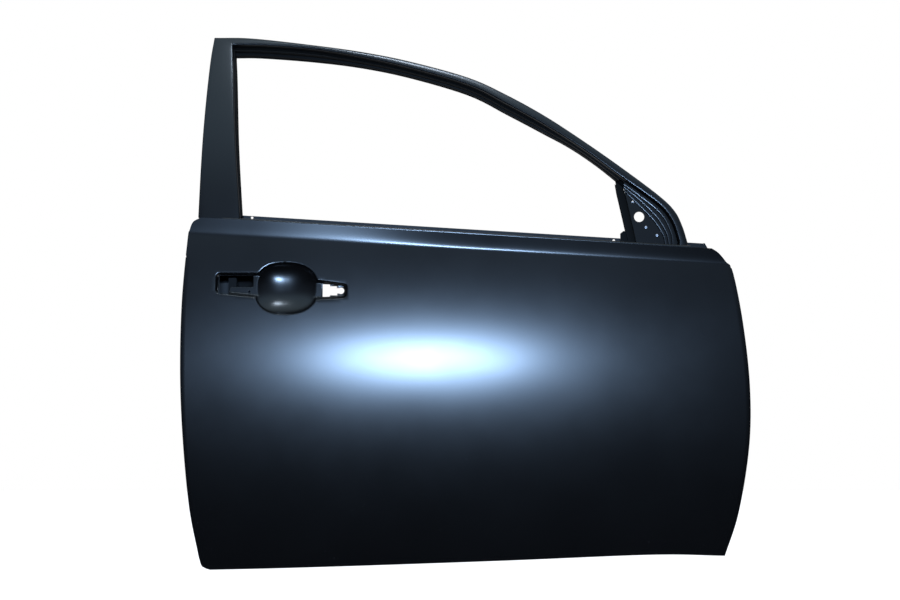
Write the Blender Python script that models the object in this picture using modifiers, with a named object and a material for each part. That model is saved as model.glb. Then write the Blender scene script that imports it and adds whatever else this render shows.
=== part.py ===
"""Front right-hand car door shell in stamped steel: skin, inner panel, window sash and reinforcements.

Metres. +X is the front of the car, +Y its inside and +Z up.
The origin is the middle of the upper hinge face.
"""

import math

import bmesh
import bpy
from mathutils import Vector

# Sheet metal
SKIN = 0.0008  # sheet of the outer panel and of most stampings
PLATE = 0.0015  # sheet of the light reinforcements
HINGE_PLATE = 0.0025
GAP = 0.0003  # between two pieces that touch

# Outer panel, seen from outside
REAR_EDGE = [
    (-1.0821, 0.1443), (-1.0911, 0.004), (-1.0905, -0.1743), (-1.0768, -0.3735), (-1.058, -0.489),
]
REAR_X = REAR_EDGE[1][0]  # rearmost point of the skin
REAR_TOP_CORNER = [(-1.055, 0.1894), (-1.071, 0.181), (-1.0785, 0.164)]
REAR_FOOT_CORNER = (-1.0515, -0.5088)
BOTTOM_EDGE = [
    (-1.0356, -0.5156), (-0.8551, -0.5101), (-0.4564, -0.4957), (-0.1571, -0.4846), (-0.0063, -0.4877),
]
FRONT_EDGE = [
    (-0.0063, -0.4877), (0.0198, -0.3984), (0.0392, -0.2642), (0.0402, -0.1449), (0.0277, -0.0198),
    (0.0099, 0.08),
]
FRONT_TOP_CORNER = [(-0.0038, 0.1006), (-0.0187, 0.118), (-0.0326, 0.1272)]
BULGE_Y = -0.09  # outermost line of the skin
BULGE_Z = -0.205
BULGE_RADIUS = 1.3  # section of the skin, seen from the front
PLAN_X = -0.58
PLAN_RADIUS = 8.0  # section of the skin, seen from above
CREASE_SHARE = 0.046  # shoulder crease below the belt, as a share of the panel's height
SHOULDER_LEAN = 0.03
HEM_RADIUS = 0.0011
HEM_WIDTH = 0.0105
BELT_ROLL = 0.0072  # depth of the rolled top edge
BELT_FLANGE = 0.014

# Door handle recess
HANDLE_INSET = 0.2094  # middle of the cup ahead of the rearmost point
HANDLE_X = REAR_X + HANDLE_INSET
HANDLE_Z = 0.0473
CUP_WIDTH = 0.129
CUP_HEIGHT = 0.105
CUP_DEPTH = 0.026
ARM_DEPTH = 0.009
REAR_ARM_REACH = 0.1418  # from the middle of the cup
FRONT_ARM_REACH = 0.1212
REAR_ARM_END = HANDLE_X - REAR_ARM_REACH
FRONT_ARM_END = HANDLE_X + FRONT_ARM_REACH

# Window frame, on a barrel about an axis along X
BARREL = 1.4
BELT_Z = 0.17
BELT_Y = -0.014
BELT_LEAN = math.radians(12)
FRAME_DEPTH = 0.034

# Inner panel
HINGE_FACE_X = 0.0
LATCH_INSET = 0.0371  # latch face ahead of the rearmost point
LATCH_FACE_X = REAR_X + LATCH_INSET
FACE_Y = 0.058
WALL_Y = 0.048
STRIP_Y = 0.0475
STRIP_RISE = 0.0115  # belt strip above the skin's top edge

# Hinges and check link, on the front wall
HINGE_Z = [0.0, -0.33]
HINGE_BOLT_PITCH = 0.036
BOLT_HOLE = 0.011
CHECK_Z = -0.17
GROMMET_Z = -0.095
GROMMET_HOLE = 0.036

# Impact beam
BEAM_RADIUS = 0.016
BEAM_WALL = 0.002
BEAM_SEAT_INSET = 0.0108  # flat seat of the rear bracket, ahead of the latch face
BEAM_SEAT_X = LATCH_FACE_X + BEAM_SEAT_INSET
BEAM_FRONT_GAP = 0.012  # from the wall to the end of the tube
BEAM_REAR_GAP = 0.0132
BEAM_FRONT = (HINGE_FACE_X - BEAM_FRONT_GAP, -0.046, -0.235)
BEAM_REAR = (BEAM_SEAT_X + BEAM_REAR_GAP, -0.044, -0.315)

BARREL_Z = BELT_Z - BARREL * math.sin(BELT_LEAN)
BARREL_Y = BELT_Y + BARREL * math.cos(BELT_LEAN)

PRIMER = (0.012, 0.013, 0.015)
STEEL = (0.36, 0.37, 0.39)


# Scene and materials


def clear_scene():
    for obj in list(bpy.data.objects):
        bpy.data.objects.remove(obj, do_unlink=True)


def collection(name, hidden=False):
    made = bpy.data.collections.new(name)
    bpy.context.scene.collection.children.link(made)
    made.hide_render = hidden
    return made


def finish_of(name, colour, metallic, roughness):
    made = bpy.data.materials.new(name)
    made.use_nodes = True
    shader = made.node_tree.nodes["Principled BSDF"]
    shader.inputs["Base Color"].default_value = (*colour, 1.0)
    shader.inputs["Metallic"].default_value = metallic
    shader.inputs["Roughness"].default_value = roughness
    return made


clear_scene()
DOOR = collection("car_door_shell")
CUTTERS = collection("cutters", hidden=True)


# Curves


def spline(points, steps):
    """Points of a smooth curve through the given points, with this many steps in each span."""
    ends = [2 * points[0] - points[1], *points, 2 * points[-1] - points[-2]]
    out = []
    for a, b, c, d in zip(ends, ends[1:], ends[2:], ends[3:]):
        for i in range(steps):
            t = i / steps
            out.append(
                0.5 * (
                    2 * b + (c - a) * t + (
                        2 * a - 5 * b + 4 * c - d
                    ) * t**2 + (3 * b - a - 3 * c + d) * t**3
                )
            )
    return [*out, points[-1]]


def curve(points, steps=12):
    return spline([Vector(p) for p in points], steps)


def along(points, shares):
    """Points of a polyline at the given shares of its length."""
    lengths = [0.0]
    for a, b in zip(points, points[1:]):
        lengths.append(lengths[-1] + (b - a).length)
    out = []
    for share in shares:
        want = share * lengths[-1]
        i = 0
        while i < len(points) - 2 and lengths[i + 1] < want:
            i += 1
        part = (want - lengths[i]) / (lengths[i + 1] - lengths[i])
        out.append(points[i].lerp(points[i + 1], min(max(part, 0.0), 1.0)))
    return out


def inset(chain, distance):
    """The open chain moved to its left by one distance, or by one for each point."""
    out = []
    for i, point in enumerate(chain):
        before = (point - chain[i - 1]).normalized() if i else None
        after = (chain[i + 1] - point).normalized() if i < len(chain) - 1 else None
        before = before or after
        after = after or before
        left = [Vector((-side.y, side.x)) for side in (before, after)]
        mid = (left[0] + left[1]).normalized()
        step = distance[i] if isinstance(distance, list) else distance
        out.append(point + mid * step / max(mid.dot(left[0]), 0.5))
    return out


def rounded(points, radius, steps=4):
    """A closed outline with each corner rounded by an arc of the radius."""
    points = [Vector(p) for p in points]
    out = []
    for i, corner in enumerate(points):
        back = (points[i - 1] - corner).normalized()
        on = (points[(i + 1) % len(points)] - corner).normalized()
        half = back.angle(on) / 2
        reach = radius / math.tan(half)
        middle = corner + (back + on).normalized() * radius / math.sin(half)
        first = corner + back * reach - middle
        last = corner + on * reach - middle
        turn = first.angle_signed(last)
        for k in range(steps + 1):
            angle = -turn * k / steps
            spin = Vector(
                (
                    math.cos(angle) * first.x - math.sin(angle) * first.y,
                    math.sin(angle) * first.x + math.cos(angle) * first.y,
                )
            )
            out.append(middle + spin)
    return out


def box_outline(x0, x1, z0, z1, radius, steps=4):
    return rounded([(x0, z0), (x1, z0), (x1, z1), (x0, z1)], radius, steps)


def circle(x, z, radius, steps=24):
    return [
        Vector(
            (
                x + radius * math.cos(2 * math.pi * k / steps),
                z + radius * math.sin(2 * math.pi * k / steps),
            )
        )
        for k in range(steps)
    ]


# Surfaces


def belt_z(x):
    """Top edge of the outer panel."""
    rear = REAR_TOP_CORNER[0]
    front = FRONT_TOP_CORNER[-1]
    return rear[1] + (front[1] - rear[1]) * (x - rear[0]) / (front[0] - rear[0])


def sill_z(x):
    rear = BOTTOM_EDGE[0]
    front = BOTTOM_EDGE[-1]
    return rear[1] + (front[1] - rear[1]) * (x - rear[0]) / (front[0] - rear[0])


def plan(x):
    return (x - PLAN_X) ** 2 / (2 * PLAN_RADIUS)


def skin_y(x, z):
    """Middle of the outer panel's sheet."""
    crease = belt_z(x) - CREASE_SHARE * (belt_z(x) - sill_z(x))
    low = min(z, crease)
    bulge = BULGE_RADIUS - math.sqrt(BULGE_RADIUS**2 - (low - BULGE_Z) ** 2)
    return BULGE_Y + bulge + plan(x) + max(z - crease, 0.0) * SHOULDER_LEAN


def on_skin(point, depth=0.0):
    return Vector((point.x, skin_y(point.x, point.y) + depth, point.y))


def on_barrel(x, q, depth):
    """A point of the window frame: q is its height along the barrel, depth how far inside the outer face."""
    turn = q / BARREL
    radius = BARREL - depth
    return Vector((x, BARREL_Y - radius * math.cos(turn) + plan(x), BARREL_Z + radius * math.sin(turn)))


def barrel_depth(x, q, y):
    """Depth at which the window frame reaches y."""
    return BARREL - (BARREL_Y + plan(x) - y) / math.cos(q / BARREL)


# Meshes


def new_object(name, mesh, home, finish=None):
    obj = bpy.data.objects.new(name, mesh)
    home.objects.link(obj)
    if finish:
        mesh.materials.append(finish)
    return obj


def mesh_of(name, bm, smooth=False):
    bmesh.ops.recalc_face_normals(bm, faces=bm.faces)
    for face in bm.faces:
        face.smooth = smooth
    mesh = bpy.data.meshes.new(name)
    bm.to_mesh(mesh)
    bm.free()
    return mesh


def rows_of(bm, rows, closed=False):
    """Quads between rows of points. Rows may hold vertices that are already there."""
    grid = [[p if isinstance(p, bmesh.types.BMVert) else bm.verts.new(p) for p in row] for row in rows]
    for low, high in zip(grid, grid[1:]):
        count = len(low)
        for i in range(count if closed else count - 1):
            j = (i + 1) % count
            bm.faces.new((low[i], low[j], high[j], high[i]))
    return grid


def thicken(obj, thickness):
    modifier = obj.modifiers.new("sheet", "SOLIDIFY")
    modifier.thickness = thickness
    modifier.offset = 0.0
    modifier.use_even_offset = True
    modifier.use_quality_normals = True


def sheet(name, rows, thickness, finish, smooth=True):
    bm = bmesh.new()
    rows_of(bm, rows)
    obj = new_object(name, mesh_of(name, bm, smooth), DOOR, finish)
    thicken(obj, thickness)
    return obj


def to_world(point, axis, along_axis):
    if axis == "X":
        return Vector((along_axis, point.x, point.y))
    if axis == "Y":
        return Vector((point.x, along_axis, point.y))
    return Vector((point.x, point.y, along_axis))


def add_prism(bm, outline, axis, start, end):
    """A closed prism of a flat outline, given as (y, z), (x, z) or (x, y) for axis X, Y or Z."""
    rows = [[to_world(Vector(p), axis, level) for p in outline] for level in (start, end)]
    grid = rows_of(bm, rows, closed=True)
    bm.faces.new(grid[0])
    bm.faces.new(grid[1])


def prism(name, outlines, axis, start, end, home, finish=None):
    bm = bmesh.new()
    for outline in outlines:
        add_prism(bm, outline, axis, start, end)
    return new_object(name, mesh_of(name, bm), home, finish)


def boolean(obj, other, operation):
    other.display_type = "WIRE"
    other.hide_render = True
    modifier = obj.modifiers.new(other.name, "BOOLEAN")
    modifier.operation = operation
    modifier.solver = "EXACT"
    modifier.object = other


def cut(obj, outlines, axis, start, end, name):
    boolean(obj, prism(f"{name}_cutter", outlines, axis, start, end, CUTTERS), "DIFFERENCE")


def join(obj, other):
    boolean(obj, other, "UNION")


# Outline of the outer panel


ROW_SHARES = [
    0.0, 0.035, 0.09, 0.16, 0.24, 0.32, 0.4, 0.48, 0.56, 0.64, 0.72, 0.8, 0.87, 0.92, 1 - CREASE_SHARE,
    0.982, 1.0,
]
COLUMN_SHARES = [i / 24 for i in range(25)]


def skin_outline():
    """Rear, bottom and front edges as (x, z): the rear downwards, the front upwards."""
    foot = [Vector(p) for p in (REAR_EDGE[-1], REAR_FOOT_CORNER, BOTTOM_EDGE[0])]
    corner = curve(foot, 4)
    middle = corner[4]
    rear = curve([*REAR_TOP_CORNER, *REAR_EDGE]) + corner[1:5]
    bottom = corner[4:-1] + curve(BOTTOM_EDGE)
    front = curve([*FRONT_EDGE, *FRONT_TOP_CORNER])
    falling = [1 - share for share in reversed(ROW_SHARES)]
    rear = along(rear, falling)
    rear[-1] = middle
    return rear, along(bottom, COLUMN_SHARES), along(front, ROW_SHARES)


REAR, BOTTOM, FRONT = skin_outline()
EDGE = REAR + BOTTOM[1:] + FRONT[1:]
LAST = len(EDGE) - 1


# Outer panel


def skin_rows(bm):
    fold = inset(EDGE, HEM_RADIUS + SKIN / 2)
    rear = fold[: len(REAR)]
    bottom = fold[len(REAR) - 1 : len(REAR) + len(BOTTOM) - 1]
    front = fold[len(REAR) + len(BOTTOM) - 2 :]
    left = list(reversed(rear))
    top = [left[-1].lerp(front[-1], share) for share in COLUMN_SHARES]
    rows = []
    for j, t in enumerate(ROW_SHARES):
        row = []
        for i, s in enumerate(COLUMN_SHARES):
            across = left[j].lerp(front[j], s)
            upright = bottom[i].lerp(top[i], t)
            corners = bottom[0].lerp(bottom[-1], s).lerp(top[0].lerp(top[-1], s), t)
            row.append(on_skin(across + upright - corners))
        rows.append(row)
    return rows_of(bm, rows)


def outer_panel(finish):
    bm = bmesh.new()
    grid = skin_rows(bm)
    rolled = [(0.0018, 0.0014), (0.0024, 0.0038), (0.0014, 0.0062), (-BELT_FLANGE, BELT_ROLL)]
    top = grid[-1][1:-1]
    rows_of(bm, [top, *[[v.co + Vector((0, dy, dz)) for v in top] for dz, dy in rolled]])
    border = [row[0] for row in reversed(grid)] + grid[0][1:] + [row[-1] for row in grid[1:]]
    start = 4
    stop = LAST - 3
    hem = [border[start:stop]]
    for distance, depth in (
        (SKIN / 2, HEM_RADIUS),
        (HEM_RADIUS + SKIN / 2, 2 * HEM_RADIUS),
        (HEM_RADIUS + HEM_WIDTH, 2 * HEM_RADIUS),
    ):
        hem.append([on_skin(p, depth) for p in inset(EDGE, distance)[start:stop]])
    rows_of(bm, hem)
    obj = new_object("outer_panel", mesh_of("outer_panel", bm, True), DOOR, finish)
    thicken(obj, SKIN)
    handle_recess(obj)
    return obj


def cup_outline(grow):
    """Door handle cup: an ellipse-like outline, a little squarer at its rear."""
    points = []
    for k in range(32):
        turn = 2 * math.pi * k / 32
        power = 0.72 if math.cos(turn) < 0 else 0.9
        x = math.copysign(abs(math.cos(turn)) ** power, math.cos(turn)) * (CUP_WIDTH / 2 + grow)
        z = math.copysign(abs(math.sin(turn)) ** 0.85, math.sin(turn)) * (CUP_HEIGHT / 2 + grow)
        points.append(Vector((HANDLE_X + x, HANDLE_Z + z)))
    return points


def arm_outline(end, near, far, grow):
    """One handle arm, from inside the cup to its own end. near and far are its (low, high) heights."""
    side = math.copysign(1.0, end - HANDLE_X)
    start = HANDLE_X + side * CUP_WIDTH * 0.32
    corners = [
        (start, near[0] - grow),
        (end + side * grow, far[0] - grow),
        (end + side * grow, far[1] + grow),
        (start, near[1] + grow),
    ]
    if side < 0:
        corners.reverse()
    return rounded(corners, 0.005 + grow, 4)


def recess_rows(outline, depth, floor, outside):
    """Rings from the rim down to the floor, which narrows to the given shares."""
    middle = sum(outline, Vector((0, 0))) / len(outline)
    rows = []
    if outside:
        rows.append([on_skin(p, -0.01) for p in outline])
    for share, down in floor:
        rows.append([on_skin(middle.lerp(p, share), depth * down) for p in outline])
    return rows


def recess(name, outline, depth, floor, outside=False):
    bm = bmesh.new()
    grid = rows_of(bm, recess_rows(outline, depth, floor, outside), closed=True)
    for ring in (grid[0], grid[-1]):
        middle = bm.verts.new(sum((v.co for v in ring), Vector()) / len(ring))
        for a, b in zip(ring, ring[1:] + ring[:1]):
            bm.faces.new((a, b, middle))
    return new_object(name, mesh_of(name, bm), CUTTERS)


BOWL = [(1.0, 0.0), (0.98, 0.22), (0.93, 0.47), (0.82, 0.72), (0.64, 0.9), (0.36, 0.99)]
TRAY = [(1.0, 0.0), (0.97, 0.7), (0.92, 1.0)]


def handle_recess(panel):
    rear_near = (HANDLE_Z - 0.0215, HANDLE_Z + 0.031)
    rear_far = (HANDLE_Z - 0.0105, HANDLE_Z + 0.031)
    front_near = (HANDLE_Z - 0.0245, HANDLE_Z + 0.0195)
    front_far = (HANDLE_Z - 0.02, HANDLE_Z + 0.009)
    shapes = []
    for grow, outside in ((SKIN, False), (0.0, True)):
        part = "cutter" if outside else "wall"
        deeper = grow
        shapes.append(
            [
                recess(f"cup_{part}", cup_outline(grow), CUP_DEPTH + deeper, BOWL, outside),
                recess(
                    f"rear_arm_{part}",
                    arm_outline(REAR_ARM_END, rear_near, rear_far, grow),
                    ARM_DEPTH + deeper,
                    TRAY,
                    outside,
                ),
                recess(
                    f"front_arm_{part}",
                    arm_outline(FRONT_ARM_END, front_near, front_far, grow),
                    ARM_DEPTH + deeper,
                    TRAY,
                    outside,
                ),
            ]
        )
    for wall in shapes[0]:
        join(panel, wall)
    for cutter in shapes[1]:
        boolean(panel, cutter, "DIFFERENCE")
    low = HANDLE_Z - 0.004
    rear_window = rounded(
        [
            (REAR_ARM_END + 0.005, low - 0.004),
            (REAR_ARM_END + 0.027, low - 0.004),
            (REAR_ARM_END + 0.031, low + 0.006),
            (HANDLE_X - CUP_WIDTH / 2 - 0.004, low + 0.006),
            (HANDLE_X - CUP_WIDTH / 2 - 0.004, HANDLE_Z + 0.025),
            (REAR_ARM_END + 0.005, HANDLE_Z + 0.025),
        ],
        0.003,
        3,
    )
    lobes = [
        rounded(
            [
                (FRONT_ARM_END - 0.0505, HANDLE_Z - 0.018),
                (FRONT_ARM_END - 0.034, HANDLE_Z - 0.018),
                (FRONT_ARM_END - 0.034, HANDLE_Z + 0.009),
                (FRONT_ARM_END - 0.0505, HANDLE_Z + 0.009),
            ],
            0.003,
            3,
        ),
        box_outline(
            FRONT_ARM_END - 0.035, FRONT_ARM_END - 0.012, HANDLE_Z - 0.016, HANDLE_Z + 0.006, 0.002, 2,
        ),
    ]
    screw = circle(HANDLE_X - CUP_WIDTH / 2 - 0.01, HANDLE_Z - 0.0065, 0.0022, 12)
    cut(panel, [rear_window, screw], "Y", -0.06, -0.025, "rear_window")
    cut(panel, lobes[:1], "Y", -0.075, -0.025, "front_window")
    cut(panel, lobes[1:], "Y", -0.075, -0.025, "front_lobe")
    cut(
        panel,
        [circle(FRONT_ARM_END - 0.0125, HANDLE_Z - 0.005, 0.008, 16)],
        "Y",
        -0.075,
        -0.025,
        "front_round",
    )


# Inner panel


def blend(k, rear, bottom, front):
    """A size along the door's edge: rear, bottom and front values, ramped round the lower corners."""
    first = len(REAR) - 1
    second = first + len(BOTTOM) - 1
    if k < first + 3:
        share = min(max((k - first + 3) / 6, 0.0), 1.0)
        return rear + (bottom - rear) * share
    share = min(max((k - second + 2) / 4, 0.0), 1.0)
    return bottom + (front - bottom) * share


def wall_loop(rear, bottom, front, levels, step=0.0):
    """One loop of the inner panel's wall: its distances from the door's edge, and its y at each point."""
    points = inset(EDGE, [blend(k, rear, bottom, front) for k in range(len(EDGE))])
    out = []
    for k, point in enumerate(points):
        front_wall = HINGE_FACE_X - SKIN / 2
        x = min(point.x + step, front_wall)
        if x > front_wall - 0.003 and point.y < 0.06:
            x = front_wall
        x -= step
        if k < len(REAR) and rear > 0.033:
            seat = SKIN / 2 + (BEAM_SEAT_X if -0.36 < point.y < -0.26 else LATCH_FACE_X)
            x = max(x, seat + max(rear - 0.036, 0.0))
        out.append(Vector((x, levels[k], point.y)))
    return out


def inner_panel_loops():
    flange = [on_skin(p, HEM_RADIUS) for p in inset(EDGE, 0.0025)]
    inside = [on_skin(p, HEM_RADIUS) for p in inset(EDGE, 0.0135)]
    joggle = [on_skin(p, HEM_RADIUS + 0.0035) for p in inset(EDGE, 0.0165)]
    base = [v.y + 0.003 for v in joggle]
    ledge = [max(y + 0.006, -0.028) for y in base]
    ledge_in = [y + 0.004 for y in ledge]
    count = len(EDGE)
    return [
        flange,
        inside,
        joggle,
        wall_loop(0.018, 0.018, 0.0165, base),
        wall_loop(0.022, 0.021, 0.0165, ledge),
        wall_loop(0.034, 0.029, 0.0165, ledge_in),
        wall_loop(0.036, 0.04, 0.0165, [WALL_Y] * count),
        wall_loop(0.046, 0.052, 0.0265, [FACE_Y] * count, 0.01),
    ]


# Pressed fields of the inner panel: outline, and how far they stand towards the outer panel
FRONT_FIELD = [
    (-0.57, -0.43), (-0.3, -0.432), (-0.075, -0.425), (-0.06, -0.2), (-0.075, 0.03), (-0.57, 0.055),
]
REAR_FIELD = [(-0.965, -0.17), (-0.67, -0.17), (-0.67, 0.07), (-0.965, 0.095)]
LOW_FIELD = [(-0.945, -0.42), (-0.665, -0.425), (-0.665, -0.235), (-0.965, -0.235)]
FIELD_DEPTH = {"front": 0.01, "rear": 0.008, "low": -0.006}
SPEAKER_X = -0.205
SPEAKER_Z = -0.315
SPEAKER_HOLE = 0.152


def fill(bm, loops):
    """Flat triangles between closed loops of vertices, the first round the others."""
    edges = []
    for loop in loops:
        for a, b in zip(loop, loop[1:] + loop[:1]):
            edges.append(bm.edges.get((a, b)) or bm.edges.new((a, b)))
    bmesh.ops.triangle_fill(bm, use_beauty=True, edges=edges, normal=(0, 1, 0))


def field(bm, outline, depth, radius=0.03):
    """A pressed field in the inner face: returns its rim and fills its floor."""
    rim = rounded(outline, radius, 4)
    middle = sum(rim, Vector((0, 0))) / len(rim)
    floor = [p + (middle - p).normalized() * (abs(depth) + 0.003) for p in rim]
    levels = (FACE_Y, FACE_Y - depth)
    rows = [[Vector((p.x, y, p.y)) for p in ring] for ring, y in zip((rim, floor), levels)]
    grid = rows_of(bm, rows, closed=True)
    return grid


def strip_top(x):
    """Top edge of the inner panel: a belt strip above the skin, which ends in a tab at the front."""
    if x > -0.04:
        return belt_z(x) - 0.004
    return belt_z(x) + STRIP_RISE


def inner_panel(finish):
    first = 3
    last = LAST - 3
    bm = bmesh.new()
    grid = rows_of(bm, [loop[first : last + 1] for loop in inner_panel_loops()])
    rim = grid[-1]
    rear = rim[0].co
    front = rim[-1].co
    xs = [rear.x + (front.x - rear.x) * i / 18 for i in range(1, 18)] + [-0.0405, -0.0395]
    xs = sorted(x for x in xs if x < front.x)
    face_top = [bm.verts.new(rear.lerp(front, (x - rear.x) / (front.x - rear.x))) for x in xs]
    edge = [rim[0], *face_top, rim[-1]]
    step = [Vector((v.co.x, STRIP_Y, v.co.z + 0.01)) for v in edge]
    top = [Vector((v.co.x, STRIP_Y, strip_top(v.co.x))) for v in edge]
    rows_of(bm, [edge, step, top])
    speaker = circle(SPEAKER_X, SPEAKER_Z, SPEAKER_HOLE / 2 + 0.02, 24)
    outer = rim + list(reversed(face_top))
    rims = []
    for outline, depth in (
        (FRONT_FIELD, FIELD_DEPTH["front"]),
        (REAR_FIELD, FIELD_DEPTH["rear"]),
        (LOW_FIELD, FIELD_DEPTH["low"]),
    ):
        ring, floor = field(bm, outline, depth)
        rims.append(ring)
        if outline is FRONT_FIELD:
            level = FACE_Y - depth
            loops = [
                [Vector((p.x, level, p.y)) for p in speaker],
                [
                    Vector((p.x, level + 0.006, p.y))
                    for p in circle(SPEAKER_X, SPEAKER_Z, SPEAKER_HOLE / 2 + 0.014, 24)
                ],
            ]
            seat = rows_of(bm, loops, closed=True)
            fill(bm, [floor, seat[0]])
            fill(bm, [seat[1]])
        else:
            fill(bm, [floor])
    fill(bm, [outer, *rims])
    obj = new_object("inner_panel", mesh_of("inner_panel", bm, True), DOOR, finish)
    thicken(obj, SKIN)
    cut(obj, face_holes(), "Y", FACE_Y - 0.03, FACE_Y + 0.02, "inner_face")
    cut(obj, front_wall_holes(0.0), "X", -0.006, 0.01, "front_wall")
    cut(obj, latch_holes(0.0), "X", LATCH_FACE_X - 0.004, LATCH_FACE_X + 0.006, "rear_wall")
    cut(obj, [circle(x, -0.006, 0.007, 12) for x in (-0.86, -0.52, -0.2)], "Z", -0.53, -0.44, "drain")
    return obj


def face_holes():
    holes = [
        rounded(
            [
                (-0.52, -0.16), (-0.3, -0.16), (-0.24, -0.12), (-0.19, -0.05), (-0.19, 0.012),
                (-0.52, 0.028),
            ],
            0.03,
        ),
        rounded(
            [(-0.925, -0.125), (-0.77, -0.125), (-0.71, -0.08), (-0.71, 0.052), (-0.925, 0.065)],
            0.025,
        ),
        circle(SPEAKER_X, SPEAKER_Z, SPEAKER_HOLE / 2, 32),
        box_outline(-0.52, -0.42, -0.35, -0.25, 0.02),
        box_outline(-0.87, -0.74, -0.36, -0.29, 0.02),
    ]
    for k in range(3):
        turn = math.radians(30 + 120 * k)
        holes.append(
            circle(SPEAKER_X + 0.0835 * math.cos(turn), SPEAKER_Z + 0.0835 * math.sin(turn), 0.0028, 8)
        )
    for x, z in (
        (-0.985, 0.02), (-0.99, -0.2), (-0.98, -0.4), (-0.62, -0.47), (-0.33, -0.458), (-0.035, -0.15),
        (-0.62, 0.075), (-0.3, 0.07),
    ):
        holes.append(circle(x, z, 0.0045, 10))
    for x, z in (
        (-0.55, -0.2), (-0.35, -0.2), (-0.55, 0.0), (-0.15, 0.0), (-0.69, -0.14), (-0.69, 0.03),
    ):
        holes.append(circle(x, z, 0.0035, 8))
    return holes


def hinge_bolts(radius, steps=12):
    return [
        circle(0.0, z + side * HINGE_BOLT_PITCH / 2, radius, steps)
        for z in HINGE_Z
        for side in (-1, 1)
    ]


def front_wall_holes(grow):
    slot = box_outline(-0.012 - grow, 0.012 + grow, CHECK_Z - 0.009, CHECK_Z + 0.009, 0.004, 3)
    screws = [circle(0.0, CHECK_Z + side * 0.02, 0.0035, 8) for side in (-1, 1)]
    return [*hinge_bolts(BOLT_HOLE / 2), slot, *screws, circle(0.006, GROMMET_Z, GROMMET_HOLE / 2, 24)]


LATCH_Z = -0.075


def latch_holes(grow):
    fork = rounded(
        [
            (-0.014, LATCH_Z - 0.016),
            (0.018, LATCH_Z - 0.016),
            (0.018, LATCH_Z + 0.018),
            (-0.014, LATCH_Z + 0.018),
        ],
        0.004,
        3,
    )
    screws = [
        circle(y, LATCH_Z + z, 0.0038, 8)
        for y, z in ((0.032, 0.022), (0.032, -0.024), (0.0, -0.034))
    ]
    return [fork, *screws]


# Window frame


PILLAR_OUTER = [(-1.064, 0.3152), (-1.06, 0.4918), (-1.0526, 0.655), (-1.0465, 0.7238)]
PILLAR_FOLD = [(-0.9794, 0.3151), (-0.9935, 0.475), (-1.0032, 0.64), (-1.0075, 0.7057)]
PILLAR_GLASS = [(-0.9763, 0.3254), (-0.9872, 0.471), (-0.9955, 0.62), (-1.0005, 0.689)]
HEADER_OUTER = [
    (-1.0465, 0.7238), (-0.9674, 0.7214), (-0.8392, 0.7036), (-0.7396, 0.6865), (-0.6404, 0.6629),
    (-0.5184, 0.6234), (-0.4402, 0.5828), (-0.3624, 0.5344), (-0.2854, 0.4789), (-0.2086, 0.4205),
    (-0.1322, 0.3593), (-0.1018, 0.3271), (-0.0871, 0.2953), (-0.078, 0.2634),
]
HEADER_FOLD = [
    (-1.0075, 0.7057), (-0.9388, 0.7042), (-0.839, 0.6941), (-0.7394, 0.6748), (-0.6403, 0.6486),
    (-0.5184, 0.6073), (-0.4404, 0.5628), (-0.3627, 0.5149), (-0.2857, 0.461), (-0.2067, 0.3985),
    (-0.1417, 0.3492), (-0.1185, 0.3252), (-0.1041, 0.2985), (-0.0947, 0.2656),
]
HEADER_GLASS = [
    (-1.0005, 0.689), (-0.948, 0.6881), (-0.8412, 0.6779), (-0.7409, 0.6626), (-0.6409, 0.638),
    (-0.5182, 0.5952), (-0.4398, 0.5496), (-0.368, 0.5065), (-0.295, 0.4615), (-0.2194, 0.3989),
    (-0.16, 0.338), (-0.14, 0.318), (-0.128, 0.296), (-0.12, 0.263),
]
REAR_LEG = (
    [(-1.03, 0.235), (-1.03, 0.285)],
    [(-0.985, 0.235), (-0.985, 0.285)],
    [(-0.98, 0.235), (-0.98, 0.285)],
)
FRONT_LEG = ([(-0.076, 0.2)], [(-0.1, 0.2)], [(-0.122, 0.2)])
MIRROR_SPANS = 4  # spans of the header in front of the division channel


def frame_stations():
    """Outer edge, fold, glass edge and the way to the glass, from the B-pillar's foot forwards."""
    pillars = (PILLAR_OUTER, PILLAR_FOLD, PILLAR_GLASS)
    headers = (HEADER_OUTER, HEADER_FOLD, HEADER_GLASS)
    rails = []
    for pillar, header, rear, front in zip(pillars, headers, REAR_LEG, FRONT_LEG):
        rail = [Vector(p) for p in rear] + curve(pillar, 2)[:-1] + curve(header, 2)
        rails.append(rail + [Vector(p) for p in front])
    inward = [moved - point for moved, point in zip(inset(rails[0], -1.0), rails[0])]
    return list(zip(*rails, inward))


STATIONS = frame_stations()


def frame_point(station, place, depth, shift=0.0):
    """place is -1 at the outer edge, 0 at the fold and 1 at the glass edge. shift goes to the glass."""
    outer, fold, glass, inward = station
    p = fold.lerp(outer, -place) if place < 0 else fold.lerp(glass, place)
    p = p + inward * shift
    if depth == "seat":
        above = min(max((p.y - 0.3) / 0.05, 0.0), 1.0)
        seat = barrel_depth(p.x, p.y, STRIP_Y - SKIN - GAP)
        depth = max(seat, FRAME_DEPTH) * (1 - above) + FRAME_DEPTH * above
    return on_barrel(p.x, p.y, depth)


def frame_sheet(name, section, first, last, finish):
    rows = [[frame_point(station, *where) for where in section] for station in STATIONS[first:last]]
    return sheet(name, rows, SKIN, finish)


LAP = SKIN + GAP
FLOOR = 0.0105


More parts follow.
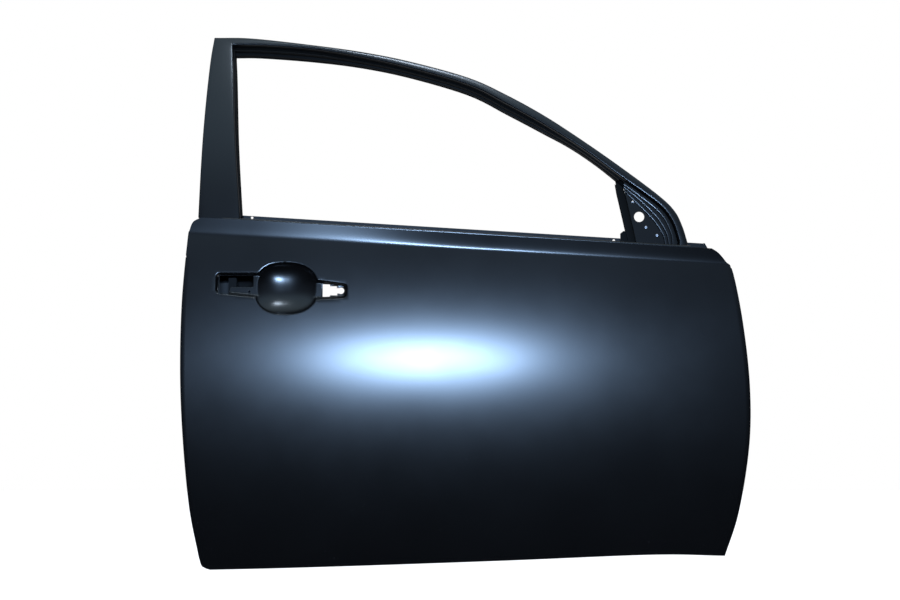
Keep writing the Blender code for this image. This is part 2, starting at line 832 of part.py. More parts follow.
def sash(finish):
    outer = [
        (-1, 0.016), (-1, 0.002), (-1, 0.0003, 0.0016), (0, 0.0003, -0.0016), (0, 0.002),
        (0.08, FLOOR), (0.33, FLOOR),
    ]
    frame_sheet("sash_outer", outer, 0, len(STATIONS), finish)
    run = [
        (0.12, FLOOR + LAP), (0.5, FLOOR + LAP), (0.55, 0.0185), (0.85, 0.0195), (0.88, 0.0255),
        (1, 0.0255),
    ]
    frame_sheet("glass_run_channel", run, 2, len(STATIONS) - 2 * MIRROR_SPANS - 1, finish)
    inner = [
        (-1, 0.008, LAP), (-1, 0.024, LAP), (-0.8, "seat"), (0.5, "seat"), (0.86, 0.0255 + LAP),
        (1, 0.0255 + LAP),
    ]
    frame_sheet("sash_inner", inner, 0, len(STATIONS), finish)


# Mirror triangle and glass channels


CHANNEL_TOP = (-0.2133, 0.388)
CHANNEL_BELT = (-0.1899, 0.272)
CHANNEL_FOOT_Q = -0.055
CHANNEL_WIDTH = 0.015
CHANNEL_FRONT = 0.0125
CHANNEL_BACK = 0.03
REAR_CHANNEL_INSET = 0.0605  # ahead of the latch face
REAR_CHANNEL_X = LATCH_FACE_X + REAR_CHANNEL_INSET
REAR_CHANNEL_TOP_Q = 0.232
REAR_CHANNEL_FOOT_Q = -0.055
MIRROR_FOLD = [
    (-0.203, 0.3912), (-0.1775, 0.3722), (-0.1445, 0.3462), (-0.1222, 0.3232), (-0.1085, 0.2975),
    (-0.1, 0.2656), (-0.1012, 0.245),
]
MIRROR_STEPS = [
    [
        (-0.2032, 0.3885), (-0.1876, 0.3766), (-0.161, 0.3556), (-0.1344, 0.3323), (-0.1196, 0.3126),
        (-0.1085, 0.2862), (-0.1058, 0.2656), (-0.1065, 0.245),
    ],
    [
        (-0.2034, 0.3825), (-0.1952, 0.376), (-0.1678, 0.3525), (-0.1393, 0.3227), (-0.1261, 0.3033),
        (-0.1166, 0.2836), (-0.1132, 0.2656), (-0.111, 0.245),
    ],
    [
        (-0.2036, 0.376), (-0.198, 0.3712), (-0.1709, 0.3432), (-0.146, 0.3165), (-0.1323, 0.297),
        (-0.1234, 0.28), (-0.1204, 0.2656), (-0.118, 0.245),
    ],
]
MIRROR_HOLE = (-0.1735, 0.3158)
MIRROR_SCREWS = [(-0.1601, 0.2941), (-0.186, 0.347), (-0.138, 0.2775)]
MIRROR_STEP = 0.0015


def channel_x(q):
    top, belt = Vector(CHANNEL_TOP), Vector(CHANNEL_BELT)
    return top.x + (belt.x - top.x) * (q - top.y) / (belt.y - top.y)


def mirror_triangle(finish):
    count = 12
    shares = [i / count for i in range(count + 1)]
    fold = along(curve(MIRROR_FOLD, 4), shares)
    steps = [along(curve(line, 4), shares) for line in MIRROR_STEPS]
    side = CHANNEL_WIDTH / 2 + SKIN / 2 + GAP + 0.0006
    edge = []
    for share in shares:
        q = 0.371 + (fold[-1].y - 0.371) * share
        edge.append(Vector((channel_x(q) + side, q)))
    depth = FLOOR - LAP
    rows = [[on_barrel(p.x, p.y, depth) for p in fold]]
    for line, beyond in zip(steps, [*steps[1:], edge]):
        rows.append([on_barrel(p.x, p.y, depth) for p in line])
        depth += MIRROR_STEP
        rows.append([on_barrel(*(p + (to - p) * 0.22), depth) for p, to in zip(line, beyond)])
    for share in (0.55, 1.0):
        rows.append([on_barrel(*p.lerp(to, share), depth) for p, to in zip(steps[-1], edge)])
    obj = sheet("mirror_triangle_panel", rows, SKIN, finish)
    holes = [circle(x, on_barrel(x, q, 0.0).z, 0.0026, 8) for x, q in MIRROR_SCREWS]
    holes.append(circle(MIRROR_HOLE[0], on_barrel(*MIRROR_HOLE, 0.0).z, 0.0103, 20))
    cut(obj, holes, "Y", -0.03, 0.06, "mirror_holes")


def mirror_nuts(finish):
    depth = FLOOR - LAP + 3 * MIRROR_STEP + SKIN / 2 + GAP
    for k, (x, q) in enumerate(MIRROR_SCREWS):
        bm = bmesh.new()
        tilt = Vector(
            (
                0,
                on_barrel(x, q, 0.01).y - on_barrel(x, q, 0.0).y,
                on_barrel(x, q, 0.01).z - on_barrel(x, q, 0.0).z,
            )
        ).normalized()
        seat = on_barrel(x, q, depth + 0.0002)
        up = Vector((0, -tilt.z, tilt.y))
        rows = []
        for radius, rise in ((0.0028, 0.0), (0.006, 0.0), (0.006, 0.005), (0.0028, 0.005)):
            ring = []
            for j in range(6):
                turn = math.pi * j / 3
                ring.append(
                    seat + tilt * rise + radius * (
                        math.cos(turn) * Vector((1, 0, 0)) + math.sin(turn) * up
                    )
                )
            rows.append(ring)
        rows.append(rows[0])
        grid = [[bm.verts.new(p) for p in row] for row in rows[:-1]]
        grid.append(grid[0])
        rows_of(bm, grid, closed=True)
        name = f"mirror_weld_nut_{k + 1}"
        new_object(name, mesh_of(name, bm), DOOR, finish)


def division_channel(finish):
    half = CHANNEL_WIDTH / 2
    section = [
        (-half, CHANNEL_FRONT),
        (half, CHANNEL_FRONT),
        (half, CHANNEL_BACK),
        (-half, CHANNEL_BACK),
    ]
    rows = []
    for q in (CHANNEL_TOP[1], 0.33, CHANNEL_BELT[1], 0.2, 0.12, 0.03, CHANNEL_FOOT_Q):
        slope = -0.85 if q == CHANNEL_TOP[1] else 0.0
        rows.append([on_barrel(channel_x(q) + dx, q + slope * dx, depth) for dx, depth in section])
    sheet("division_channel", rows, SKIN, finish, smooth=False)


def rear_channel(finish):
    half = CHANNEL_WIDTH / 2
    section = [
        (half, CHANNEL_FRONT),
        (-half, CHANNEL_FRONT),
        (-half, CHANNEL_BACK),
        (half, CHANNEL_BACK),
    ]
    rows = []
    for q in (REAR_CHANNEL_TOP_Q, 0.13, 0.03, REAR_CHANNEL_FOOT_Q):
        rows.append([on_barrel(REAR_CHANNEL_X + dx, q, depth) for dx, depth in section])
    sheet("rear_glass_channel", rows, SKIN, finish, smooth=False)


def strip_between(points, thickness):
    """Closed flat outline of a folded strip along the points, half its thickness to each side."""
    points = [Vector(p) for p in points]
    return inset(points, thickness / 2) + list(reversed(inset(points, -thickness / 2)))


def channel_brackets(finish):
    q = CHANNEL_FOOT_Q + 0.02
    z = on_barrel(0, q, 0).z
    x = channel_x(q)
    near = on_barrel(x, q, CHANNEL_BACK).y + SKIN / 2 + GAP + 0.0012 + PLATE / 2
    far = FACE_Y - FIELD_DEPTH["front"] - SKIN / 2 - GAP - PLATE / 2
    path = [(x - 0.007, near), (x + 0.012, near), (x + 0.016, far), (x + 0.036, far)]
    prism(
        "division_channel_bracket",
        [strip_between(path, PLATE)],
        "Z",
        z - 0.016,
        z + 0.012,
        DOOR,
        finish,
    )
    q = REAR_CHANNEL_FOOT_Q + 0.02
    z = on_barrel(0, q, 0).z
    side = REAR_CHANNEL_X - CHANNEL_WIDTH / 2 - SKIN / 2 - GAP - PLATE / 2
    wall = LATCH_FACE_X + SKIN + GAP + PLATE / 2
    y = on_barrel(REAR_CHANNEL_X, q, (CHANNEL_FRONT + CHANNEL_BACK) / 2).y
    path = [(wall, y + 0.024), (wall, y + 0.002), (side, y + 0.002), (side, y - 0.006)]
    prism("rear_channel_bracket", [strip_between(path, PLATE)], "Z", z - 0.012, z + 0.012, DOOR, finish)


# Belt reinforcements


def belt_rail(name, xs, section, finish):
    rows = []
    for x in xs:
        rows.append([Vector((x, y(x), belt_z(x) + dz)) for y, dz in section])
    sheet(name, rows, 0.001, finish)


def belt_reinforcements(finish):
    def outside(lift):
        seat = BELT_ROLL + SKIN / 2 + GAP + 0.0005
        return lambda x: skin_y(x, belt_z(x)) + seat - lift

    def inside(lift):
        return lambda x: STRIP_Y - SKIN / 2 - GAP - 0.0005 - lift

    xs = [-1.025 + i * 0.95 / 16 for i in range(17)]
    hat = [
        (0.0, -0.003), (0.0, -0.019), (0.0055, -0.025), (0.0055, -0.046), (0.0, -0.052), (0.0, -0.064),
    ]
    belt_rail("belt_reinforcement_outer", xs, [(outside(lift), dz) for lift, dz in hat], finish)
    xs = [-0.955 + i * 0.83 / 6 for i in range(7)]
    hat = [(0.0, 0.0), (0.0, -0.009), (0.009, -0.014), (0.009, -0.029), (0.0, -0.034), (0.0, -0.041)]
    belt_rail("belt_reinforcement_inner", xs, [(inside(lift), dz) for lift, dz in hat], finish)


# Impact beam


def beam_point(x):
    front, rear = Vector(BEAM_FRONT), Vector(BEAM_REAR)
    return front.lerp(rear, (front.x - x) / (front.x - rear.x))


def impact_beam(finish, bracket_finish):
    bm = bmesh.new()
    steps = 20
    rings = []
    for end, radius in (
        (BEAM_FRONT, BEAM_RADIUS),
        (BEAM_REAR, BEAM_RADIUS),
        (BEAM_REAR, BEAM_RADIUS - BEAM_WALL),
        (BEAM_FRONT, BEAM_RADIUS - BEAM_WALL),
    ):
        rings.append(
            [Vector((end[0], end[1] + c.x, end[2] + c.y)) for c in circle(0, 0, radius, steps)]
        )
    grid = [[bm.verts.new(p) for p in ring] for ring in rings]
    grid.append(grid[0])
    rows_of(bm, grid, closed=True)
    new_object("impact_beam_tube", mesh_of("impact_beam_tube", bm, True), DOOR, finish)
    seat = SKIN + GAP
    for name, wall, side in (("front", HINGE_FACE_X - seat, -1), ("rear", BEAM_SEAT_X + seat, 1)):
        plate_x = sorted((wall, wall + side * 0.002))
        saddle_x = (wall + side * 0.001, wall + side * 0.085)
        middle = beam_point(wall)
        plate = box_outline(
            middle.y - 0.004, middle.y + 0.058, middle.z - 0.0225, middle.z + 0.0225, 0.006, 3,
        )
        obj = prism(f"beam_bracket_{name}", [plate], "X", *plate_x, DOOR, bracket_finish)
        arc = []
        radius = BEAM_RADIUS / math.cos(math.pi / steps) + GAP + PLATE / 2
        for k in range(9):
            turn = -math.pi / 2 + math.pi * k / 8
            arc.append(Vector((radius * math.cos(turn), radius * math.sin(turn))))
        arc = [arc[0] + Vector((-0.004, -0.001)), *arc, arc[-1] + Vector((-0.004, 0.001))]
        profile = strip_between(arc, PLATE)
        bm = bmesh.new()
        rows = []
        for x in saddle_x:
            centre = beam_point(x)
            rows.append([Vector((x, centre.y + p.x, centre.z + p.y)) for p in profile])
        saddle = rows_of(bm, rows, closed=True)
        bm.faces.new(saddle[0])
        bm.faces.new(saddle[1])
        join(obj, new_object(f"saddle_{name}", mesh_of(f"saddle_{name}", bm), CUTTERS))
        hole = [circle(middle.y + 0.044, middle.z + dz, 0.004, 8) for dz in (-0.012, 0.012)]
        cut(obj, hole, "X", plate_x[0] - 0.002, plate_x[1] + 0.002, f"beam_bracket_{name}")


def pads(finish):
    for k, x in enumerate((-0.2, -0.42, -0.64, -0.86)):
        centre = beam_point(x)
        bm = bmesh.new()
        outline = circle(x, centre.z, 0.014, 12)
        front = [on_skin(p, SKIN / 2 + GAP + 0.0001) for p in outline]
        back = [Vector((p.x, centre.y - BEAM_RADIUS - GAP, p.y)) for p in outline]
        grid = rows_of(bm, [front, back], closed=True)
        bm.faces.new(grid[0])
        bm.faces.new(grid[1])
        name = f"anti_flutter_pad_{k + 1}"
        new_object(name, mesh_of(name, bm), DOOR, finish)


# Hinge, check link and latch reinforcements


def hinge_parts(finish, nut_finish):
    wall = HINGE_FACE_X - SKIN - GAP
    for name, z in zip(("upper", "lower"), HINGE_Z):
        face = WALL_Y - 0.005
        middle = HINGE_PLATE / 2
        path = [(wall - middle, -0.034), (wall - middle, face - middle), (-0.044, face - middle)]
        obj = prism(
            f"hinge_reinforcement_{name}",
            [strip_between(path, HINGE_PLATE)],
            "Z",
            z - 0.041,
            z + 0.041,
            DOOR,
            finish,
        )
        bolts = [circle(0.0, z + side * HINGE_BOLT_PITCH / 2, BOLT_HOLE / 2, 12) for side in (-1, 1)]
        cut(obj, bolts, "X", wall - 0.01, wall + 0.002, f"hinge_reinforcement_{name}")
        for number, side in enumerate((-1, 1)):
            centre = z + side * HINGE_BOLT_PITCH / 2
            nut = f"hinge_weld_nut_{name}_{number + 1}"
            obj = prism(
                nut,
                [circle(0.0, centre, 0.0098, 6)],
                "X",
                wall - HINGE_PLATE - GAP - 0.008,
                wall - HINGE_PLATE - GAP,
                DOOR,
                nut_finish,
            )
            cut(obj, [circle(0.0, centre, 0.0042, 12)], "X", wall - 0.02, wall, nut)


def check_link_plate(finish):
    wall = HINGE_FACE_X - SKIN - GAP
    outline = box_outline(-0.032, 0.034, CHECK_Z - 0.029, CHECK_Z + 0.029, 0.006, 3)
    obj = prism("check_link_reinforcement", [outline], "X", wall - 0.002, wall, DOOR, finish)
    cut(obj, front_wall_holes(0.0015)[4:-1], "X", wall - 0.006, wall + 0.002, "check_link")


def latch_plate(finish):
    wall = LATCH_FACE_X + SKIN + GAP
    face = WALL_Y - 0.004
    path = [
        (wall + PLATE / 2, -0.018),
        (wall + PLATE / 2, face - PLATE / 2),
        (wall + 0.03, face - PLATE / 2),
    ]
    obj = prism(
        "latch_reinforcement",
        [strip_between(path, PLATE)],
        "Z",
        LATCH_Z - 0.052,
        LATCH_Z + 0.045,
        DOOR,
        finish,
    )
    cut(obj, latch_holes(0.0), "X", wall - 0.002, wall + 0.004, "latch_plate")


# Handle and pull brackets


def handle_bracket(finish):
    rear = REAR_ARM_END + 0.003
    front = FRONT_ARM_END + 0.004
    cup_rear = HANDLE_X - CUP_WIDTH / 2
    cup_front = HANDLE_X + CUP_WIDTH / 2
    back = SKIN + GAP + PLATE / 2

    columns = [
        (rear, ARM_DEPTH),
        (cup_rear - 0.004, ARM_DEPTH),
        (cup_rear + 0.009, CUP_DEPTH),
        (cup_front - 0.009, CUP_DEPTH),
        (cup_front + 0.004, ARM_DEPTH),
        (front, ARM_DEPTH),
    ]
    rows = []
    for rise in (-0.022, 0.003, 0.028):
        rows.append([on_skin(Vector((x, HANDLE_Z + rise)), depth + back) for x, depth in columns])
    obj = sheet("handle_bracket", rows, PLATE, finish, smooth=False)
    windows = [
        box_outline(rear + 0.014, cup_rear - 0.024, HANDLE_Z - 0.006, HANDLE_Z + 0.02, 0.003, 2),
        box_outline(front - 0.058, front - 0.005, HANDLE_Z - 0.0195, HANDLE_Z + 0.012, 0.003, 2),
        box_outline(cup_rear + 0.03, cup_front - 0.03, HANDLE_Z - 0.012, HANDLE_Z + 0.016, 0.004, 2),
    ]
    cut(obj, windows, "Y", -0.08, 0.0, "handle_bracket")


PULL_X = -0.621
PULL_Z = -0.015
PULL_RISE = 0.018
PULL_LENGTH = 0.06
PULL_TOP = 0.026  # width of the raised part
PULL_FOOT = 0.016  # width of each foot


def pull_bracket(finish):
    low = FACE_Y + SKIN / 2 + GAP + PLATE / 2
    high = low + PULL_RISE
    top = PULL_TOP / 2
    fold = top + PULL_RISE / 3
    end = fold + PULL_FOOT
    path = [(PULL_X - end, low), (PULL_X - fold, low), (PULL_X - top, high)]
    path += [(PULL_X + top, high), (PULL_X + fold, low), (PULL_X + end, low)]
    down, up = PULL_Z - PULL_LENGTH / 2, PULL_Z + PULL_LENGTH / 2
    obj = prism("pull_handle_bracket", [strip_between(path, PLATE)], "Z", down, up, DOOR, finish)
    cut(
        obj,
        [circle(PULL_X, PULL_Z + side * PULL_LENGTH / 4, 0.004, 10) for side in (-1, 1)],
        "Y",
        high - 0.004,
        high + 0.004,
        "pull_handle",
    )


PANEL_PRIMER = finish_of("panel_primer", PRIMER, 0.0, 0.36)
INNER_PRIMER = finish_of("inner_primer", PRIMER, 0.0, 0.5)
REINFORCEMENT_PRIMER = finish_of("reinforcement_primer", PRIMER, 0.0, 0.55)
NUT_STEEL = finish_of("nut_steel", STEEL, 1.0, 0.45)
MASTIC = finish_of("mastic", (0.03, 0.03, 0.032), 0.0, 0.9)

outer_panel(PANEL_PRIMER)
inner_panel(INNER_PRIMER)
sash(PANEL_PRIMER)
mirror_triangle(PANEL_PRIMER)
mirror_nuts(NUT_STEEL)
division_channel(INNER_PRIMER)
rear_channel(INNER_PRIMER)
channel_brackets(REINFORCEMENT_PRIMER)
belt_reinforcements(REINFORCEMENT_PRIMER)
impact_beam(REINFORCEMENT_PRIMER, REINFORCEMENT_PRIMER)
pads(MASTIC)
hinge_parts(REINFORCEMENT_PRIMER, NUT_STEEL)
check_link_plate(REINFORCEMENT_PRIMER)
latch_plate(REINFORCEMENT_PRIMER)
handle_bracket(REINFORCEMENT_PRIMER)
pull_bracket(REINFORCEMENT_PRIMER)
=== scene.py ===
"""Looks of a front right-hand car door shell: fine sheet metal over the frame, and a studio."""

import math

import bmesh
import bpy
import numpy as np
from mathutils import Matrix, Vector
from mathutils.geometry import delaunay_2d_cdt
from mathutils.kdtree import KDTree

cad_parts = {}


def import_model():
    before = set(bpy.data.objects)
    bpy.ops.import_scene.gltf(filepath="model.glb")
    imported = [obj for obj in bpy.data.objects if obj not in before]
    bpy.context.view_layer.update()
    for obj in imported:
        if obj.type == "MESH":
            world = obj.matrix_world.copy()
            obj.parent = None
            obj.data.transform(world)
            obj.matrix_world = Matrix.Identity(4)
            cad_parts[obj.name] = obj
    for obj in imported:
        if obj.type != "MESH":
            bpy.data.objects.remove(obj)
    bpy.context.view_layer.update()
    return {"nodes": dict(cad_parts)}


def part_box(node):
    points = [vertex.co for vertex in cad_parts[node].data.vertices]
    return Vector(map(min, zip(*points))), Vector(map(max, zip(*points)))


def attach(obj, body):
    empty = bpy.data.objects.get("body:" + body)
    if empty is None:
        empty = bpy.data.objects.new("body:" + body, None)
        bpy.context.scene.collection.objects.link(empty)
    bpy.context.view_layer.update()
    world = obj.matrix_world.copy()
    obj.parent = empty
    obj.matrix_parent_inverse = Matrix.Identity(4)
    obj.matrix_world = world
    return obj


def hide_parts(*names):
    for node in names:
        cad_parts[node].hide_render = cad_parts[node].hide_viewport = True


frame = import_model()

# Sheet metal
SKIN = 0.0008  # sheet of the outer panel and of most stampings
PLATE = 0.0015  # sheet of the light reinforcements
GAP = 0.0003  # between two pieces that touch

# Outer panel, seen from outside
REAR_EDGE = [
    (-1.0821, 0.1443), (-1.0911, 0.004), (-1.0905, -0.1743), (-1.0768, -0.3735), (-1.058, -0.489),
]
REAR_TOP_CORNER = [(-1.055, 0.1894), (-1.071, 0.181), (-1.0785, 0.164)]
REAR_FOOT_CORNER = (-1.0515, -0.5088)
BOTTOM_EDGE = [
    (-1.0356, -0.5156), (-0.8551, -0.5101), (-0.4564, -0.4957), (-0.1571, -0.4846),
    (-0.0063, -0.4877),
]
FRONT_EDGE = [
    (-0.0063, -0.4877), (0.0198, -0.3984), (0.0392, -0.2642), (0.0402, -0.1449), (0.0277, -0.0198),
    (0.0099, 0.08),
]
FRONT_TOP_CORNER = [(-0.0038, 0.1006), (-0.0187, 0.118), (-0.0326, 0.1272)]
BULGE_Y = -0.09  # outermost line of the skin
BULGE_Z = -0.205
BULGE_RADIUS = 1.3  # section of the skin, seen from the front
PLAN_X = -0.58
PLAN_RADIUS = 8.0  # section of the skin, seen from above
CREASE_SHARE = 0.046  # shoulder crease below the belt, as a share of the panel's height
SHOULDER_FLARE = (0.02, 0.15)  # outward lean of the shoulder, at the rear and at the front
FLARE_START = -0.84  # where the lean starts to grow towards the front
FLARE_LENGTH = 0.36
SHOULDER_TURN = 0.00105  # how far the shoulder turns in just above the crease
SHOULDER_REACH = 0.007
CREASE_ROUND = 0.0014
HEM_RADIUS = 0.0011
HEM_WIDTH = 0.0105
BELT_ROLL = 0.0072  # depth of the rolled top edge
BELT_CROWN = 0.0026  # rise of the rolled top edge
BELT_FLANGE = 0.014

# Door handle recess
HANDLE_X = -0.8817
HANDLE_Z = 0.0473
CUP_WIDTH = 0.129
CUP_HEIGHT = 0.105
CUP_DEPTH = 0.026
ARM_DEPTH = 0.009
REAR_ARM_END = -1.0235
FRONT_ARM_END = -0.7605

# Window frame, on a barrel about an axis along X
BARREL = 1.4
BELT_Z = 0.17
BELT_Y = -0.014
BELT_LEAN = math.radians(12)
FRAME_DEPTH = 0.034

BARREL_Z = BELT_Z - BARREL * math.sin(BELT_LEAN)
BARREL_Y = BELT_Y + BARREL * math.cos(BELT_LEAN)

# Inner panel
STRIP_Y = 0.0475  # belt strip


# Curves


def spline(points, steps):
    """Points of a smooth curve through the given points, with this many steps in each span."""
    ends = [2 * points[0] - points[1], *points, 2 * points[-1] - points[-2]]
    out = []
    for a, b, c, d in zip(ends, ends[1:], ends[2:], ends[3:]):
        for i in range(steps):
            t = i / steps
            square = 2 * a - 5 * b + 4 * c - d
            cube = 3 * b - a - 3 * c + d
            out.append(0.5 * (2 * b + (c - a) * t + square * t**2 + cube * t**3))
    return [*out, points[-1]]


def curve(points, steps=12):
    return spline([Vector(p) for p in points], steps)


def along(points, shares):
    """Points of a polyline at the given shares of its length."""
    lengths = [0.0]
    for a, b in zip(points, points[1:]):
        lengths.append(lengths[-1] + (b - a).length)
    out = []
    for share in shares:
        want = share * lengths[-1]
        i = 0
        while i < len(points) - 2 and lengths[i + 1] < want:
            i += 1
        part = (want - lengths[i]) / (lengths[i + 1] - lengths[i])
        out.append(points[i].lerp(points[i + 1], min(max(part, 0.0), 1.0)))
    return out


def inset(chain, distance):
    """The open chain moved to its left by one distance, or by one for each point."""
    out = []
    for i, point in enumerate(chain):
        before = (point - chain[i - 1]).normalized() if i else None
        after = (chain[i + 1] - point).normalized() if i < len(chain) - 1 else None
        before = before or after
        after = after or before
        left = [Vector((-side.y, side.x)) for side in (before, after)]
        mid = (left[0] + left[1]).normalized()
        step = distance[i] if isinstance(distance, list) else distance
        out.append(point + mid * step / max(mid.dot(left[0]), 0.5))
    return out


def rounded(points, radius, steps=4):
    """A closed outline with each corner rounded by an arc of the radius."""
    points = [Vector(p) for p in points]
    out = []
    for i, corner in enumerate(points):
        back = (points[i - 1] - corner).normalized()
        on = (points[(i + 1) % len(points)] - corner).normalized()
        half = back.angle(on) / 2
        reach = radius / math.tan(half)
        middle = corner + (back + on).normalized() * radius / math.sin(half)
        first = corner + back * reach - middle
        last = corner + on * reach - middle
        turn = first.angle_signed(last)
        for k in range(steps + 1):
            angle = -turn * k / steps
            c, s = math.cos(angle), math.sin(angle)
            out.append(middle + Vector((c * first.x - s * first.y, s * first.x + c * first.y)))
    return out


def box_outline(x0, x1, z0, z1, radius, steps=4):
    return rounded([(x0, z0), (x1, z0), (x1, z1), (x0, z1)], radius, steps)


def circle(x, z, radius, steps=24):
    turns = [2 * math.pi * k / steps for k in range(steps)]
    return [Vector((x + radius * math.cos(turn), z + radius * math.sin(turn))) for turn in turns]


# Surfaces


def belt_z(x):
    """Top edge of the outer panel."""
    rear = REAR_TOP_CORNER[0]
    front = FRONT_TOP_CORNER[-1]
    return rear[1] + (front[1] - rear[1]) * (x - rear[0]) / (front[0] - rear[0])


def sill_z(x):
    rear = BOTTOM_EDGE[0]
    front = BOTTOM_EDGE[-1]
    return rear[1] + (front[1] - rear[1]) * (x - rear[0]) / (front[0] - rear[0])


def plan(x):
    return (x - PLAN_X) ** 2 / (2 * PLAN_RADIUS)


def skin_y(x, z):
    """Middle of the outer panel's sheet, with the crease rounded over."""
    crease = belt_z(x) - CREASE_SHARE * (belt_z(x) - sill_z(x))
    above = (z - crease + math.hypot(z - crease, CREASE_ROUND)) / 2
    low = z - above
    bulge = BULGE_RADIUS - math.sqrt(BULGE_RADIUS**2 - (low - BULGE_Z) ** 2)
    rear, front = SHOULDER_FLARE
    flare = rear + (front - rear) * float(smooth((x - FLARE_START) / FLARE_LENGTH))
    shoulder = SHOULDER_TURN * (1 - math.exp(-above / SHOULDER_REACH)) - flare * above
    return BULGE_Y + bulge + plan(x) + shoulder


def on_skin(point, depth=0.0):
    return Vector((point.x, skin_y(point.x, point.y) + depth, point.y))


def on_barrel(x, q, depth):
    """A point of the window frame: q is its height along the barrel, depth how far in it lies."""
    turn = q / BARREL
    radius = BARREL - depth
    y = BARREL_Y - radius * math.cos(turn) + plan(x)
    return Vector((x, y, BARREL_Z + radius * math.sin(turn)))


def barrel_depth(x, q, y):
    """Depth at which the window frame reaches y."""
    return BARREL - (BARREL_Y + plan(x) - y) / math.cos(q / BARREL)


# Outline of the outer panel


def finer(shares, steps):
    """The shares with every span split into equal steps."""
    out = []
    for a, b in zip(shares, shares[1:]):
        out.extend(a + (b - a) * k / steps for k in range(steps))
    return [*out, shares[-1]]


CREASE = 1 - CREASE_SHARE
HEM_TOP = (0.87, 0.92)  # where the hem ends on the front edge, and starts on the rear edge
LOWER_SHARES = [0.0, 0.035, 0.09, 0.16, 0.24, 0.32, 0.4, 0.48, 0.56, 0.64, 0.72, 0.8, *HEM_TOP]
UPPER_SHARES = [CREASE - 0.009, CREASE, CREASE + 0.004, CREASE + 0.012, 0.982, 1.0]
ROW_SHARES = finer([*LOWER_SHARES, *UPPER_SHARES], 6)
COLUMN_SHARES = finer([i / 24 for i in range(25)], 5)


def skin_outline():
    foot = [Vector(p) for p in (REAR_EDGE[-1], REAR_FOOT_CORNER, BOTTOM_EDGE[0])]
    corner = curve(foot, 12)
    rear = curve([*REAR_TOP_CORNER, *REAR_EDGE]) + corner[1:13]
    bottom = corner[12:-1] + curve(BOTTOM_EDGE)
    front = curve([*FRONT_EDGE, *FRONT_TOP_CORNER])
    falling = [1 - share for share in reversed(ROW_SHARES)]
    return along(rear, falling), along(bottom, COLUMN_SHARES), along(front, ROW_SHARES)


REAR, BOTTOM, FRONT = skin_outline()
EDGE = REAR + BOTTOM[1:] + FRONT[1:]


# Meshes


def rows_of(bm, rows, closed=False):
    """Faces between rows of points or vertices. A closed row ends where it starts."""
    known = bmesh.types.BMVert
    grid = [[p if isinstance(p, known) else bm.verts.new(p) for p in row] for row in rows]
    for low, high in zip(grid, grid[1:]):
        count = len(low)
        for i in range(count if closed else count - 1):
            j = (i + 1) % count
            bm.faces.new((low[i], low[j], high[j], high[i]))
    return grid


def object_of(name, bm, outward=Vector((0, -1, 0))):
    bmesh.ops.recalc_face_normals(bm, faces=bm.faces)
    if sum((f.normal * f.calc_area() for f in bm.faces), Vector()).dot(outward) < 0:
        bmesh.ops.reverse_faces(bm, faces=bm.faces)
    mesh = bpy.data.meshes.new(name)
    bm.to_mesh(mesh)
    bm.free()
    obj = bpy.data.objects.new(name, mesh)
    bpy.context.scene.collection.objects.link(obj)
    return obj


def bevel(obj, width, angle, segments=3):
    modifier = obj.modifiers.new("fold", "BEVEL")
    modifier.width = width
    modifier.segments = segments
    modifier.limit_method = "ANGLE"
    modifier.angle_limit = math.radians(angle)
    modifier.use_clamp_overlap = True


def thicken(obj, thickness, even=True):
    modifier = obj.modifiers.new("sheet", "SOLIDIFY")
    modifier.thickness = thickness
    modifier.offset = 0.0
    modifier.use_even_offset = even


def prism(name, outlines, start, end):
    """Closed prisms along Y."""
    bm = bmesh.new()
    for outline in outlines:
        rows = [[Vector((p[0], level, p[1])) for p in outline] for level in (start, end)]
        grid = rows_of(bm, rows, closed=True)
        bm.faces.new(grid[0])
        bm.faces.new(grid[1])
    bmesh.ops.recalc_face_normals(bm, faces=bm.faces)
    mesh = bpy.data.meshes.new(name)
    bm.to_mesh(mesh)
    bm.free()
    return bpy.data.objects.new(name, mesh)


def cut(obj, outlines, start, end, name):
    cutter = prism(f"{name}_cutter", outlines, start, end)
    modifier = obj.modifiers.new(name, "BOOLEAN")
    modifier.operation = "DIFFERENCE"
    modifier.solver = "EXACT"
    modifier.object = cutter


def settle(obj, angle=35):
    """Applies the modifiers, and keeps only the edges sharper than the angle sharp."""
    graph = bpy.context.evaluated_depsgraph_get()
    mesh = bpy.data.meshes.new_from_object(obj.evaluated_get(graph))
    cutters = [m.object for m in obj.modifiers if m.type == "BOOLEAN"]
    obj.modifiers.clear()
    for cutter in cutters:
        bpy.data.objects.remove(cutter, do_unlink=True)
    old = obj.data
    obj.data = mesh
    bpy.data.meshes.remove(old)
    mesh.shade_smooth()
    mesh.set_sharp_from_angle(angle=math.radians(angle))
    return obj


def dress(obj, node, slot, *materials):
    """Puts the piece in the node's place, with its finish."""
    if len(obj.data.materials) != len(materials):
        obj.data.materials.clear()
        for material in materials:
            obj.data.materials.append(material)
    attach(obj, "root")
    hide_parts(node)
    return obj


# Handle recess, as a depth behind the skin


CUP_TURNS = [2 * math.pi * k / 180 for k in range(180)]


CUP_POWERS = (0.72, 0.9, 0.85)  # roundness of the cup's outline, at the rear, the front and upright


def cup_point(turn, share=1.0):
    """A point of the cup's outline, or of one drawn in by the share."""
    across, upright = math.cos(turn), math.sin(turn)
    power = CUP_POWERS[0] if across < 0 else CUP_POWERS[1]
    x = math.copysign(abs(across) ** power, across) * CUP_WIDTH / 2
    z = math.copysign(abs(upright) ** CUP_POWERS[2], upright) * CUP_HEIGHT / 2
    return Vector((HANDLE_X + x * share, HANDLE_Z + z * share))


